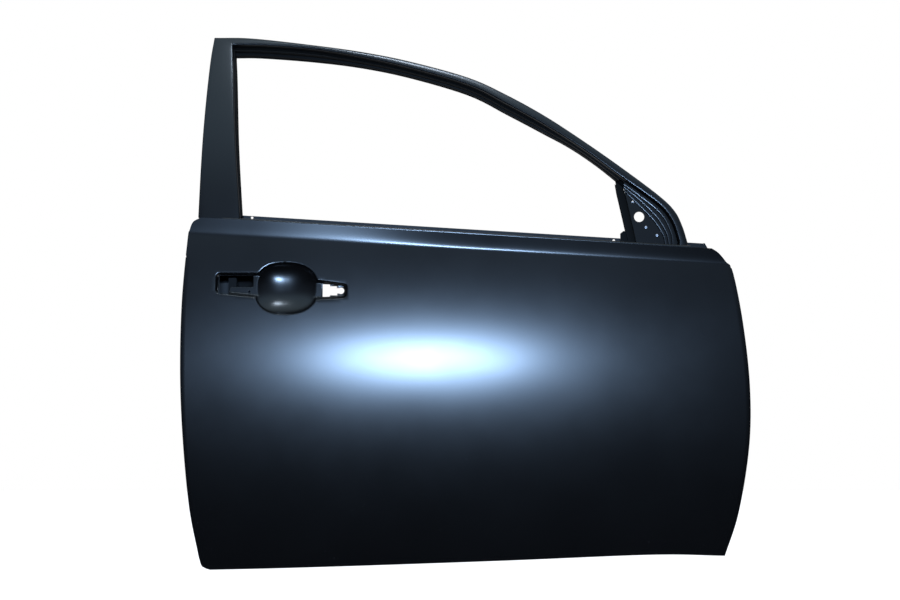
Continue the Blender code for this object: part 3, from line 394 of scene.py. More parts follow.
CUP_ANGLES = []
CUP_REACH = []
for cup_turn in CUP_TURNS:
    away = cup_point(cup_turn) - Vector((HANDLE_X, HANDLE_Z))
    CUP_ANGLES.append(math.atan2(away.y, away.x) % (2 * math.pi))
    CUP_REACH.append(away.length)
CUP_ORDER = np.argsort(CUP_ANGLES)
CUP_ANGLES = np.array(CUP_ANGLES)[CUP_ORDER]
CUP_REACH = np.array(CUP_REACH)[CUP_ORDER]


ARM_CORNER = 0.0085  # corner radius of both arms
# Lower and upper edge of each arm, beside the cup and at its end
REAR_ARM = ((HANDLE_Z - 0.0215, HANDLE_Z + 0.031), (HANDLE_Z - 0.0105, HANDLE_Z + 0.031))
FRONT_ARM = ((HANDLE_Z - 0.0245, HANDLE_Z + 0.0195), (HANDLE_Z - 0.02, HANDLE_Z + 0.009))
ARMS = ((REAR_ARM_END, REAR_ARM), (FRONT_ARM_END, FRONT_ARM))


def arm_outline(end, near, far, grow=0.0, steps=8):
    """Outline of an arm, widened all round by grow. Its inner end lies inside the cup."""
    side = math.copysign(1.0, end - HANDLE_X)
    start = HANDLE_X + side * CUP_WIDTH * 0.32
    corners = [(start, near[0] - grow), (end + side * grow, far[0] - grow)]
    corners += [(end + side * grow, far[1] + grow), (start, near[1] + grow)]
    if side < 0:
        corners.reverse()
    return rounded(corners, max(ARM_CORNER + grow, 0.001), steps)


def smooth(t):
    t = np.clip(t, 0.0, 1.0)
    return t * t * (3 - 2 * t)


def inside_distance(points, outline):
    """Distance of each point inside a closed outline, negative outside."""
    ring = np.array([tuple(p) for p in outline])
    best = np.full(len(points), 1e9)
    inside = np.zeros(len(points), bool)
    for a, b in zip(ring, np.roll(ring, -1, axis=0)):
        side = b - a
        share = np.clip(((points - a) @ side) / max(side @ side, 1e-12), 0, 1)
        best = np.minimum(best, np.linalg.norm(points - a - share[:, None] * side, axis=1))
        crosses = (a[1] > points[:, 1]) != (b[1] > points[:, 1])
        with np.errstate(divide="ignore", invalid="ignore"):
            at = a[0] + (points[:, 1] - a[1]) * (b[0] - a[0]) / (b[1] - a[1])
        inside ^= crosses & (points[:, 0] < at)
    return np.where(inside, best, -best)


CUP_RIM = 0.0034  # width over which the cup's rim turns in
ARM_WALL = 0.0078  # width over which an arm's wall goes down
RIM_LEAD = 0.0009  # how far outside its outline the cup's rim starts
WALL_LEAD = 0.0012
JOINT = 0.0014  # difference in depth under which cup and arm run into each other
JOINT_RISE = 0.00035
ARM_OUTLINES = [arm_outline(end, *arm) for end, arm in ARMS]


def recess_depth(points):
    """Depth of the cup and its two arms behind the skin, at points given by x and z."""
    away = points - np.array([HANDLE_X, HANDLE_Z])
    around = 2 * math.pi
    angle = np.arctan2(away[:, 1], away[:, 0]) % around
    reach = np.interp(angle, CUP_ANGLES, CUP_REACH, period=around)
    share = np.linalg.norm(away, axis=1) / reach
    upward = smooth(0.5 + away[:, 1] / CUP_HEIGHT)
    power = 2.2 + 0.3 * upward
    bowl = np.clip(1 - np.minimum(share, 1.0) ** power, 0, 1) ** (0.85 - 0.25 * upward)
    deepest = CUP_DEPTH * bowl * smooth(((1 - share) * reach + RIM_LEAD) / CUP_RIM)
    for outline in ARM_OUTLINES:
        within = inside_distance(points, outline)
        arm = ARM_DEPTH * smooth((within + WALL_LEAD) / ARM_WALL)
        near = np.clip(JOINT - np.abs(deepest - arm), 0, None) / JOINT
        both = np.clip(np.minimum(deepest, arm) / JOINT, 0, 1)
        deepest = np.maximum(deepest, arm) + near * near * JOINT_RISE * both
    return deepest


SCREW_STEPS = 20
SCREW_RADIUS = 0.0022
ROLL_RADIUS = 0.0012  # rolled edge of an aperture
ROLL_WALL = 0.002
CUP_REAR = HANDLE_X - CUP_WIDTH / 2
CUP_FRONT = HANDLE_X + CUP_WIDTH / 2


def apertures():
    """Outlines of the rear aperture, the screw hole beside the cup and the stepped aperture."""
    left, step, right = REAR_ARM_END + 0.0045, REAR_ARM_END + 0.0285, CUP_REAR - 0.0015
    low, middle, high = HANDLE_Z - 0.0125, HANDLE_Z + 0.0012, HANDLE_Z + 0.0265
    corners = [(left, low), (step, low), (step, middle), (right, middle), (right, high)]
    corners.append((left, high))
    screw = circle(CUP_REAR - 0.01, HANDLE_Z - 0.0065, SCREW_RADIUS, SCREW_STEPS)
    end = FRONT_ARM_END
    front = [(end - 0.0505, -0.018), (end - 0.034, -0.018), (end - 0.034, -0.0155)]
    front += [(end - 0.019, -0.0155), (end - 0.019, -0.0115)]
    round_end = circle(end - 0.0125, -0.005, 0.008, 28)
    front += [tuple(p) for p in round_end[19:] + round_end[:10]]
    front += [(end - 0.02, 0.0015), (end - 0.02, 0.0055), (end - 0.034, 0.0055)]
    front += [(end - 0.034, 0.009), (end - 0.0505, 0.009)]
    return rounded(corners, 0.0032, 6), screw, [Vector((x, HANDLE_Z + z)) for x, z in front]


# Outer panel


# Places of the hem's two ends on the edge
HEM_START = len(ROW_SHARES) - 1 - ROW_SHARES.index(HEM_TOP[0])
HEM_STOP = len(EDGE) - len(ROW_SHARES) + ROW_SHARES.index(HEM_TOP[1])


def skin_grid():
    """Points of the skin by rows, from the sill to the belt, with room for the hem's fold."""
    room = [HEM_RADIUS + SKIN / 2 if HEM_START <= k < HEM_STOP else 0.0 for k in range(len(EDGE))]
    fold = inset(EDGE, room)
    rear = fold[: len(REAR)]
    bottom = fold[len(REAR) - 1 : len(REAR) + len(BOTTOM) - 1]
    front = fold[len(REAR) + len(BOTTOM) - 2 :]
    left = list(reversed(rear))
    top = [left[-1].lerp(front[-1], share) for share in COLUMN_SHARES]
    rows = []
    for j, t in enumerate(ROW_SHARES):
        row = []
        for i, s in enumerate(COLUMN_SHARES):
            across = left[j].lerp(front[j], s)
            upright = bottom[i].lerp(top[i], t)
            corners = bottom[0].lerp(bottom[-1], s).lerp(top[0].lerp(top[-1], s), t)
            row.append(across + upright - corners)
        rows.append(row)
    return rows


CONTOUR_STEP = 0.0018  # between points of an arm's contour
LATTICE_STEP = 0.0015  # between points of the recess's floor
CUP_CONTOURS = (1.03, 1.013, 0.998, 0.983, 0.966, 0.947, 0.925)
ARM_CONTOURS = (0.0018, 0.0007, -0.0003, -0.0012, -0.0021, -0.003, -0.0041, -0.0053, -0.0065)
SPARSE = 4  # on the flat skin, one lattice point of this many stays


def window_mesh(bm, ring):
    """The skin round the handle: triangles between the ring, the outlines and a fine lattice."""
    border = [Vector((v.co.x, v.co.z)) for v in ring]
    points = list(border)
    edges = [(k, (k + 1) % len(border)) for k in range(len(border))]

    def loop(outline):
        start = len(points)
        points.extend(outline)
        edges.extend((start + k, start + (k + 1) % len(outline)) for k in range(len(outline)))

    holes = apertures()
    for outline in holes:
        loop(outline)
    loops = [[cup_point(turn, share) for turn in CUP_TURNS] for share in CUP_CONTOURS]
    for end, arm in ARMS:
        for grow in ARM_CONTOURS:
            corners = arm_outline(end, *arm, grow, 6)
            closed = corners + corners[:1]
            length = sum((b - a).length for a, b in zip(closed, closed[1:]))
            count = int(length / CONTOUR_STEP)
            loops.append(along(closed, [k / count for k in range(count)]))
    contour = np.array([tuple(p) for one in loops for p in one])
    xs = np.arange(min(p.x for p in border), max(p.x for p in border), LATTICE_STEP)
    zs = np.arange(min(p.y for p in border), max(p.y for p in border), LATTICE_STEP)
    shift = (0, LATTICE_STEP / 2)
    lattice = np.array([(x + shift[k % 2], z) for k, z in enumerate(zs) for x in xs])
    number = np.arange(len(lattice))
    sparse = (number % len(xs) % SPARSE == 0) & (number // len(xs) % SPARSE == 0)
    well_inside = inside_distance(lattice, border) > 2 * LATTICE_STEP
    lattice = lattice[well_inside & ((recess_depth(lattice) > 1e-5) | sparse)]
    tree = KDTree(len(contour) + sum(len(outline) for outline in holes))
    for k, p in enumerate(contour):
        tree.insert((*p, 0), k)
    for k, p in enumerate([q for outline in holes for q in outline]):
        tree.insert((p.x, p.y, 0), len(contour) + k)
    tree.balance()
    lattice = [p for p in lattice if tree.find((*p, 0))[2] > 0.001]
    hole_distance = [inside_distance(contour, outline) for outline in holes]
    clear = np.all([d < -0.0004 for d in hole_distance], axis=0)
    points.extend(Vector(p) for p in contour[clear])
    points.extend(Vector(p) for p in lattice)
    verts, _edges, faces, origins, *_rest = delaunay_2d_cdt(points, edges, [], 0, 1e-6)
    flat = np.array([tuple(v) for v in verts])
    deep = recess_depth(flat)
    made = []
    for k, v in enumerate(verts):
        known = [o for o in origins[k] if o < len(border)]
        if known:
            made.append(ring[known[0]])
        else:
            made.append(bm.verts.new((v.x, skin_y(v.x, v.y) + deep[k], v.y)))
    middles = np.array([flat[list(face)].mean(axis=0) for face in faces])
    good = inside_distance(middles, border) > 0
    for outline in holes:
        good &= inside_distance(middles, outline) < 0
    for face, keep_it in zip(faces, good):
        if keep_it:
            bm.faces.new([made[k] for k in face])
    at = {o: made[k] for k, every_origin in enumerate(origins) for o in every_origin}
    start = len(border)
    for outline in holes:
        if len(outline) != SCREW_STEPS:
            aperture_flange(bm, [at[start + k] for k in range(len(outline))], outline)
        start += len(outline)
    for v in made:
        if not v.link_faces:
            bm.verts.remove(v)


def aperture_flange(bm, ring, outline):
    """The edge of an aperture, rolled inwards by a small radius."""
    turning = sum(a.x * b.y - b.x * a.y for a, b in zip(outline, outline[1:] + outline[:1]))
    side = math.copysign(1.0, turning)
    rows = [ring]
    for k in range(1, 7):
        turn = math.pi / 2 * min(k, 5) / 5
        down = ROLL_RADIUS * (1 - math.cos(turn)) + (ROLL_WALL if k == 6 else 0)
        row = []
        for i, v in enumerate(ring):
            way = outline[(i + 1) % len(outline)] - outline[i - 1]
            into = Vector((-way.y, way.x)).normalized() * side * ROLL_RADIUS * math.sin(turn)
            row.append(v.co + Vector((into.x, down, into.y)))
        rows.append(row)
    rows_of(bm, rows, closed=True)


HANDLE_FIELD = (-1.042, -0.75, -0.02, 0.112)  # x and z between which the skin is meshed finely


def outer_panel():
    bm = bmesh.new()
    flat = skin_grid()
    grid = [[bm.verts.new(on_skin(p)) for p in row] for row in flat]
    left, right, low, high = HANDLE_FIELD
    inside = [
        (i, j)
        for j, row in enumerate(flat[:-1])
        for i, p in enumerate(row[:-1])
        if left < p.x < right and low < p.y < high
    ]
    i0, i1 = min(i for i, _ in inside), max(i for i, _ in inside) + 1
    j0, j1 = min(j for _, j in inside), max(j for _, j in inside) + 1
    for j in range(len(grid) - 1):
        for i in range(len(grid[0]) - 1):
            if not (i0 <= i < i1 and j0 <= j < j1):
                bm.faces.new((grid[j][i], grid[j][i + 1], grid[j + 1][i + 1], grid[j + 1][i]))
    ring = [grid[j0][i] for i in range(i0, i1)] + [grid[j][i1] for j in range(j0, j1)]
    ring += [grid[j1][i] for i in range(i1, i0, -1)] + [grid[j][i0] for j in range(j1, j0, -1)]
    window_mesh(bm, ring)
    for row in grid:
        for v in row:
            if v.is_valid and not v.link_faces:
                bm.verts.remove(v)
    top = grid[-1][5:-5]
    rolled = []
    for k in range(1, 8):
        turn = math.pi * k / 8
        rolled.append((BELT_CROWN * math.sin(turn), BELT_ROLL / 2 * (1 - math.cos(turn))))
    rolled += [(-BELT_FLANGE * k / 3, BELT_ROLL) for k in range(4)]
    rows_of(bm, [top, *[[v.co + Vector((0, dy, dz)) for v in top] for dz, dy in rolled]])
    border = [row[0] for row in reversed(grid)] + grid[0][1:] + [row[-1] for row in grid[1:]]
    folds = []
    for k in range(1, 7):
        turn = math.pi * k / 6
        distance = SKIN / 2 + HEM_RADIUS * (1 - math.sin(turn))
        folds.append((distance, HEM_RADIUS * (1 - math.cos(turn))))
    folds.append((HEM_RADIUS + HEM_WIDTH, 2 * HEM_RADIUS))
    hem = [border[HEM_START:HEM_STOP]]
    for distance, depth in folds:
        hem.append([on_skin(p, depth) for p in inset(EDGE, distance)[HEM_START:HEM_STOP]])
    rows_of(bm, hem)
    obj = object_of("door_skin", bm)
    thicken(obj, SKIN, even=False)
    return dress(settle(obj), "outer_panel", "panel_primer", PANEL)


# Window frame


PILLAR_OUTER = [(-1.064, 0.3152), (-1.06, 0.4918), (-1.0526, 0.655), (-1.0465, 0.7238)]
PILLAR_FOLD = [(-0.9794, 0.3151), (-0.9935, 0.475), (-1.0032, 0.64), (-1.0075, 0.7057)]
PILLAR_GLASS = [(-0.9763, 0.3254), (-0.9872, 0.471), (-0.9955, 0.62), (-1.0005, 0.689)]
HEADER_OUTER = [
    (-1.0465, 0.7238), (-0.9674, 0.7214), (-0.8392, 0.7036), (-0.7396, 0.6865), (-0.6404, 0.6629),
    (-0.5184, 0.6234), (-0.4402, 0.5828), (-0.3624, 0.5344), (-0.2854, 0.4789), (-0.2086, 0.4205),
    (-0.1322, 0.3593), (-0.1018, 0.3271), (-0.0871, 0.2953), (-0.078, 0.2634),
]
HEADER_FOLD = [
    (-1.0075, 0.7057), (-0.9388, 0.7042), (-0.839, 0.6941), (-0.7394, 0.6748), (-0.6403, 0.6486),
    (-0.5184, 0.6073), (-0.4404, 0.5628), (-0.3627, 0.5149), (-0.2857, 0.461), (-0.2067, 0.3985),
    (-0.1417, 0.3492), (-0.1185, 0.3252), (-0.1041, 0.2985), (-0.0947, 0.2656),
]
HEADER_GLASS = [
    (-1.0005, 0.689), (-0.948, 0.6881), (-0.8412, 0.6779), (-0.7409, 0.6626), (-0.6409, 0.638),
    (-0.5182, 0.5952), (-0.4398, 0.5496), (-0.368, 0.5065), (-0.295, 0.4615), (-0.2194, 0.3989),
    (-0.16, 0.338), (-0.14, 0.318), (-0.128, 0.296), (-0.12, 0.263),
]
REAR_LEG = (
    [(-1.03, 0.235), (-1.03, 0.285)],
    [(-0.985, 0.235), (-0.985, 0.285)],
    [(-0.98, 0.235), (-0.98, 0.285)],
)
FRONT_LEG = ([(-0.076, 0.2)], [(-0.1, 0.2)], [(-0.122, 0.2)])
MIRROR_SPANS = 4  # spans of the header in front of the division channel
FINE = 6  # steps in each span


def frame_stations():
    """Outer edge, fold, glass edge and the way to the glass, from the B-pillar's foot forwards."""
    pillars = (PILLAR_OUTER, PILLAR_FOLD, PILLAR_GLASS)
    headers = (HEADER_OUTER, HEADER_FOLD, HEADER_GLASS)
    rails = []
    for pillar, header, rear, front in zip(pillars, headers, REAR_LEG, FRONT_LEG):
        rail = [Vector(p) for p in rear] + curve(pillar, FINE)[:-1] + curve(header, FINE)
        rails.append(rail + [Vector(p) for p in front])
    inward = [moved - point for moved, point in zip(inset(rails[0], -1.0), rails[0])]
    return list(zip(*rails, inward))


STATIONS = frame_stations()
LAP = SKIN + GAP  # between the middles of two sheets that touch
FLOOR = 0.0105  # depth of the sash's rebate
SEAT_TOP = 0.3  # height up to which the inner sash seats on the belt strip
SEAT_FADE = 0.05


def frame_point(station, place, depth, shift=0.0):
    """place is -1 at the outer edge, 0 at the fold and 1 at the glass edge. shift goes to the
    glass. The depth "seat" is that of the belt strip at the frame's foot."""
    outer, fold, glass, inward = station
    p = fold.lerp(outer, -place) if place < 0 else fold.lerp(glass, place)
    p = p + inward * shift
    if depth == "seat":
        above = min(max((p.y - SEAT_TOP) / SEAT_FADE, 0.0), 1.0)
        seat = barrel_depth(p.x, p.y, STRIP_Y - SKIN - GAP)
        depth = max(seat, FRAME_DEPTH) * (1 - above) + FRAME_DEPTH * above
    return on_barrel(p.x, p.y, depth)


def frame_sheet(node, name, section, first, last, radius, slot, *materials, matt_from=None):
    """A folded sheet along the frame. From one place of its section on, it may be matt."""
    bm = bmesh.new()
    stations = STATIONS[first:last]
    rows_of(bm, [[frame_point(station, *where) for where in section] for station in stations])
    if matt_from is not None:
        for k, face in enumerate(bm.faces):
            face.material_index = int(k % (len(section) - 1) >= matt_from)
    obj = object_of(name, bm)
    for material in materials:
        obj.data.materials.append(material)
    bevel(obj, radius, 18)
    thicken(obj, SKIN)
    return dress(settle(obj), node, slot, *materials)


FOLD_RADIUS = 0.0035  # of the sash, towards the glass
EDGE_RADIUS = 0.0022  # of the sash, at its outer edge
CROWN = 0.0003  # rise of the sash's face between its edges
RUN_DEPTH = 0.0255  # depth of the glass run channel's inner lip


def window_frame():
    outer = [(-1, 0.016), (-1, 0.009), (-1, EDGE_RADIUS + CROWN)]
    for k in range(1, 6):
        turn = math.pi * k / 12
        rise = EDGE_RADIUS * (1 - math.sin(turn))
        outer.append((-1, CROWN + rise, EDGE_RADIUS * (1 - math.cos(turn))))
    for k in range(9):
        share = k / 8
        shift = EDGE_RADIUS - (FOLD_RADIUS + EDGE_RADIUS) * share
        outer.append((-1 + share, CROWN * (2 * share - 1) ** 2, shift))
    for k in range(1, 9):
        turn = math.pi / 2 * k / 8
        depth = CROWN + FOLD_RADIUS * (1 - math.cos(turn))
        outer.append((0, depth, FOLD_RADIUS * (math.sin(turn) - 1)))
    walls = len(outer) - 2
    outer += [(0.08, FLOOR), (0.33, FLOOR)]
    count = len(STATIONS)
    finish = ("panel_primer", PANEL, MATT)
    frame_sheet(
        "sash_outer", "window_sash_outer", outer, 0, count, 0.0012, *finish, matt_from=walls
    )
    finish = ("inner_primer", MATT)
    run = [(0.12, FLOOR + LAP), (0.5, FLOOR + LAP), (0.55, 0.0185)]
    run += [(0.85, 0.0195), (0.88, RUN_DEPTH), (1, RUN_DEPTH)]
    last = count - FINE * MIRROR_SPANS - 1
    frame_sheet("glass_run_channel", "window_glass_run", run, 2, last, 0.0012, *finish)
    inner = [(-1, 0.008, LAP), (-1, 0.024, LAP), (-0.8, "seat"), (0.5, "seat")]
    inner += [(0.86, RUN_DEPTH + LAP), (1, RUN_DEPTH + LAP)]
    frame_sheet("sash_inner", "window_sash_inner", inner, 0, count, 0.002, *finish)


# Mirror triangle and glass channel


CHANNEL_TOP = (-0.2133, 0.388)
CHANNEL_BELT = (-0.1899, 0.272)
CHANNEL_FOOT_Q = -0.055
CHANNEL_WIDTH = 0.015
CHANNEL_FRONT = 0.0125
CHANNEL_BACK = 0.03
CHANNEL_TAB_Q = 0.2925  # top of the tab at the channel's foot
MIRROR_FOLD = [
    (-0.203, 0.3912), (-0.1775, 0.3722), (-0.1445, 0.3462), (-0.1222, 0.3232), (-0.1085, 0.2975),
    (-0.1, 0.2656), (-0.1012, 0.245),
]
MIRROR_STEPS = [
    [
        (-0.2032, 0.3885), (-0.1876, 0.3766), (-0.161, 0.3556), (-0.1344, 0.3323),
        (-0.1196, 0.3126), (-0.1085, 0.2862), (-0.1058, 0.2656), (-0.1065, 0.245),
    ],
    [
        (-0.2034, 0.3825), (-0.1952, 0.376), (-0.1678, 0.3525), (-0.1393, 0.3227),
        (-0.1261, 0.3033), (-0.1166, 0.2836), (-0.1132, 0.2656), (-0.111, 0.245),
    ],
    [
        (-0.2036, 0.376), (-0.198, 0.3712), (-0.1709, 0.3432), (-0.146, 0.3165), (-0.1323, 0.297),
        (-0.1234, 0.28), (-0.1204, 0.2656), (-0.118, 0.245),
    ],
]
MIRROR_TOP_Q = 0.371  # upper end of the triangle's edge along the channel
MIRROR_HOLE = (-0.1735, 0.3158)
MIRROR_HOLE_RADIUS = 0.0103
MIRROR_SCREWS = [(-0.1601, 0.2941), (-0.186, 0.347), (-0.138, 0.2775)]
MIRROR_STEP = 0.0015  # depth of each step
MIRROR_BEND = 0.0045  # outer radius of each step
SMALL_HOLE = 0.0026  # radius of screw holes and of the belt strip's holes


def channel_x(q):
    """Middle of the division channel at the height q."""
    top, belt = Vector(CHANNEL_TOP), Vector(CHANNEL_BELT)
    return top.x + (belt.x - top.x) * (q - top.y) / (belt.y - top.y)


def part_way(p, to, reach):
    """The point at the reach from p, but never more than six tenths of the way."""
    way = to - p
    return p + way * (min(reach, way.length * 0.6) / max(way.length, 1e-6))


def mirror_triangle():
    shares = [i / 48 for i in range(49)]
    fold = along(curve(MIRROR_FOLD, 8), shares)
    steps = [along(curve(line, 8), shares) for line in MIRROR_STEPS]
    side = CHANNEL_WIDTH / 2 + SKIN / 2 + GAP + 0.0006
    edge = []
    for share in shares:
        q = MIRROR_TOP_Q + (fold[-1].y - MIRROR_TOP_Q) * share
        edge.append(Vector((channel_x(q) + side, q)))
    depth = FLOOR - LAP
    arc = [(0.0, 0.0)]
    for k in range(1, 7):
        turn = math.acos(1 - MIRROR_STEP / MIRROR_BEND) * k / 6
        arc.append((MIRROR_BEND * math.sin(turn), MIRROR_BEND * (1 - math.cos(turn))))
    rows = [[on_barrel(p.x, p.y, depth) for p in fold]]
    for line, beyond in zip(steps, [*steps[1:], edge]):
        for reach, down in arc:
            places = [part_way(p, to, reach) for p, to in zip(line, beyond)]
            rows.append([on_barrel(*place, depth + down) for place in places])
        depth += MIRROR_STEP
    last = [part_way(p, to, arc[-1][0]) for p, to in zip(steps[-1], edge)]
    for k in range(1, 9):
        rows.append([on_barrel(*p.lerp(to, k / 8), depth) for p, to in zip(last, edge)])
    bm = bmesh.new()
    rows_of(bm, rows)
    bmesh.ops.remove_doubles(bm, verts=bm.verts, dist=0.0001)
    obj = object_of("mirror_triangle", bm)
    thicken(obj, SKIN)
    holes = [circle(x, on_barrel(x, q, 0.0).z, SMALL_HOLE, 20) for x, q in MIRROR_SCREWS]
    middle = on_barrel(*MIRROR_HOLE, 0.0)
    holes.append(circle(middle.x, middle.z, MIRROR_HOLE_RADIUS, 48))
    cut(obj, holes, -0.03, 0.06, "mirror_holes")
    return dress(settle(obj, 40), "mirror_triangle_panel", "panel_primer", PANEL)


CHANNEL_SLOPE = -0.85  # of the channel's upper end, along the header
CHANNEL_TAB = [(0.003, 0.0), (-0.0036, 0.0), (-0.0098, -0.0055), (-0.0098, -0.034), (0.009, -0.034)]


def division_channel():
    half = CHANNEL_WIDTH / 2
    section = [(-half, CHANNEL_FRONT), (half, CHANNEL_FRONT)]
    section += [(half, CHANNEL_BACK), (-half, CHANNEL_BACK)]
    rows = []
    heights = [CHANNEL_TOP[1] + (CHANNEL_FOOT_Q - CHANNEL_TOP[1]) * k / 30 for k in range(31)]
    for k, q in enumerate(heights):
        slope = CHANNEL_SLOPE if k == 0 else 0.0
        rows.append([on_barrel(channel_x(q) + dx, q + slope * dx, depth) for dx, depth in section])
    bm = bmesh.new()
    rows_of(bm, rows)
    lip = []
    for q in heights[1:-6]:
        start = channel_x(q) + half
        lip.append([on_barrel(start + dx, q, CHANNEL_BACK - 0.003) for dx in (0.0006, 0.007)])
    rows_of(bm, lip)
    foot = channel_x(CHANNEL_TAB_Q) - half
    tab = [on_barrel(foot + x, CHANNEL_TAB_Q + q, CHANNEL_BACK - 0.002) for x, q in CHANNEL_TAB]
    bm.faces.new([bm.verts.new(p) for p in tab])
    obj = object_of("glass_division_channel", bm)
    bevel(obj, 0.0016, 40)
    thicken(obj, SKIN)
    return dress(settle(obj), "division_channel", "inner_primer", MATT)


# Inner panel and handle bracket


def piece_of(node, name):
    """A new piece with the node's shape, for details to be cut into."""
    obj = bpy.data.objects.new(name, frame["nodes"][node].data.copy())
    bpy.context.scene.collection.objects.link(obj)
    return obj


FRONT_TAB = [
    (-0.0402, 0.112), (-0.0306, 0.112), (-0.0306, 0.1287), (-0.0371, 0.1397), (-0.0402, 0.1397),
]
STRIP_HOLES = [(-0.959, 0.1915), (-0.2225, 0.1452)]  # small holes through the belt strip
FOOT_CORNER = (-1.0069, 0.0584, -0.4655)  # lower rear corner of the cabin side
FOOT_CORNER_Y = 0.06  # a corner drawn out beyond this is put back


def inner_panel():
    """The inner panel with its front tab and the belt strip's holes. Its upper side towards the
    skin, where the belt strip shows, gets a darker, duller copy of the primer as painted shade; the
    rest, the cabin side, is satin.
    """
    obj = piece_of("inner_panel", "inner_stamping")
    bm = bmesh.new()
    bm.from_mesh(obj.data)
    for vert in bm.verts:
        if vert.co.x < -1 and vert.co.y > FOOT_CORNER_Y:
            vert.co = Vector(FOOT_CORNER)
    rows = [[Vector((x, STRIP_Y + side * SKIN / 2, z)) for x, z in FRONT_TAB] for side in (-1, 1)]
    grid = rows_of(bm, rows, closed=True)
    bm.faces.new(grid[0])
    bm.faces.new(list(reversed(grid[1])))
    bm.to_mesh(obj.data)
    bm.free()
    holes = [circle(x, z, SMALL_HOLE, 16) for x, z in STRIP_HOLES]
    cut(obj, holes, STRIP_Y - 0.01, STRIP_Y + 0.01, "strip_holes")
    dress(settle(obj, 24), "inner_panel", "inner_primer", STRIP_SHADE_PRIMER, CABIN_SIDE)
    # Faces towards the skin above z 0.05 take the darker, duller primer: painted shade on the belt
    # strip, standing in for its tilt away from the light.
    for face in obj.data.polygons:
        faces_skin = face.normal.y <= -0.3
        face.material_index = int(face.center.z < 0.05 or not faces_skin)


def mirror_nuts():
    """The mirror's weld nuts, each closed at its back."""
    for k in (1, 2, 3):
        node = f"mirror_weld_nut_{k}"
        low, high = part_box(node)
        obj = piece_of(node, f"mirror_nut_{k}")
        bm = bmesh.new()
        bm.from_mesh(obj.data)
        back = circle((low[0] + high[0]) / 2, (low[2] + high[2]) / 2, (high[0] - low[0]) * 0.36)
        bm.faces.new([bm.verts.new((p.x, high[1] - SKIN / 2, p.y)) for p in back])
        bm.to_mesh(obj.data)
        bm.free()
        dress(settle(obj), node, "nut_steel", NUT_STEEL)


def handle_bracket():
    """Plate on the back of the recess, with a window behind each aperture and behind the cup."""
    rear = REAR_ARM_END + 0.003
    front = FRONT_ARM_END + 0.004
    back = SKIN + GAP + PLATE / 2
    columns = [(rear, ARM_DEPTH), (CUP_REAR - 0.004, ARM_DEPTH), (CUP_REAR + 0.009, CUP_DEPTH)]
    columns += [(CUP_FRONT - 0.009, CUP_DEPTH), (CUP_FRONT + 0.004, ARM_DEPTH), (front, ARM_DEPTH)]
    rows = []
    for rise in (-0.022, 0.003, 0.028):
        rows.append([on_skin(Vector((x, HANDLE_Z + rise)), depth + back) for x, depth in columns])
    bm = bmesh.new()
    rows_of(bm, rows)
    obj = object_of("handle_carrier", bm)
    bevel(obj, 0.003, 20)
    thicken(obj, PLATE)
    z = HANDLE_Z
    holes = [
        box_outline(rear + 0.0035, CUP_REAR - 0.0015, z - 0.011, z + 0.0255, 0.003),
        box_outline(front - 0.058, front - 0.005, z - 0.0195, z + 0.012, 0.003),
        box_outline(CUP_REAR + 0.03, CUP_FRONT - 0.03, z - 0.012, z + 0.016, 0.004),
    ]
    cut(obj, holes, -0.08, 0.0, "carrier_windows")
    return dress(settle(obj), "handle_bracket", "reinforcement_primer", REINFORCEMENT)


# Materials


class Nodes:
    """A material's node tree, with its Principled shader and the object's own coordinates."""

    def __init__(self, name, colour, roughness):
        self.material = bpy.data.materials.new(name)
        self.material.use_nodes = True
        self.tree = self.material.node_tree
        self.shader = self.tree.nodes["Principled BSDF"]
        self.shader.inputs["Base Color"].default_value = (*colour, 1)
        self.shader.inputs["Roughness"].default_value = roughness
        self.place = self.tree.nodes.new("ShaderNodeTexCoord").outputs["Object"]

    def link(self, source, target):
        self.tree.links.new(source, target)

    def noise(self, scale, detail=3.0):
        node = self.tree.nodes.new("ShaderNodeTexNoise")
        node.inputs["Scale"].default_value = scale
        node.inputs["Detail"].default_value = detail
        self.link(self.place, node.inputs["Vector"])
        return node.outputs["Fac"]

    def specks(self, scale, size):
        """1 inside small round specks, 0 outside."""
        node = self.tree.nodes.new("ShaderNodeTexVoronoi")
        node.inputs["Scale"].default_value = scale
        self.link(self.place, node.inputs["Vector"])
        return self.ramp(node.outputs["Distance"], size, size * 0.5, 0.0, 1.0)

    def ramp(self, value, start, end, low, high):
        node = self.tree.nodes.new("ShaderNodeMapRange")
        node.inputs["From Min"].default_value = start
        node.inputs["From Max"].default_value = end
        node.inputs["To Min"].default_value = low
        node.inputs["To Max"].default_value = high
        self.link(value, node.inputs["Value"])
        return node.outputs["Result"]

    def maths(self, operation, a, b):
        node = self.tree.nodes.new("ShaderNodeMath")
        node.operation = operation
        for socket, value in zip(node.inputs, (a, b)):
            if isinstance(value, (int, float)):
                socket.default_value = value
            else:
                self.link(value, socket)
        return node.outputs["Value"]

    def colours(self, factor, first, second):
        node = self.tree.nodes.new("ShaderNodeMix")
        node.data_type = "RGBA"
        node.inputs["A"].default_value = (*first, 1)
        node.inputs["B"].default_value = (*second, 1)
        self.link(factor, node.inputs["Factor"])
        self.link(node.outputs["Result"], self.shader.inputs["Base Color"])

    def bump(self, height, distance):
        node = self.tree.nodes.new("ShaderNodeBump")
        node.inputs["Distance"].default_value = distance
        node.inputs["Strength"].default_value = 1.0
        self.link(height, node.inputs["Height"])
        self.link(node.outputs["Normal"], self.shader.inputs["Normal"])

    def height(self):
        split = self.tree.nodes.new("ShaderNodeSeparateXYZ")
        self.link(self.place, split.inputs["Vector"])
        return split.outputs["Z"]


DUST = (0.05, 0.052, 0.056)
DUST_ROUGHNESS = 0.2  # added where dust lies
DUST_SPAN = (-0.36, -0.5)  # heights between which the dust sets in towards the sill
DUST_SIZE = 0.06


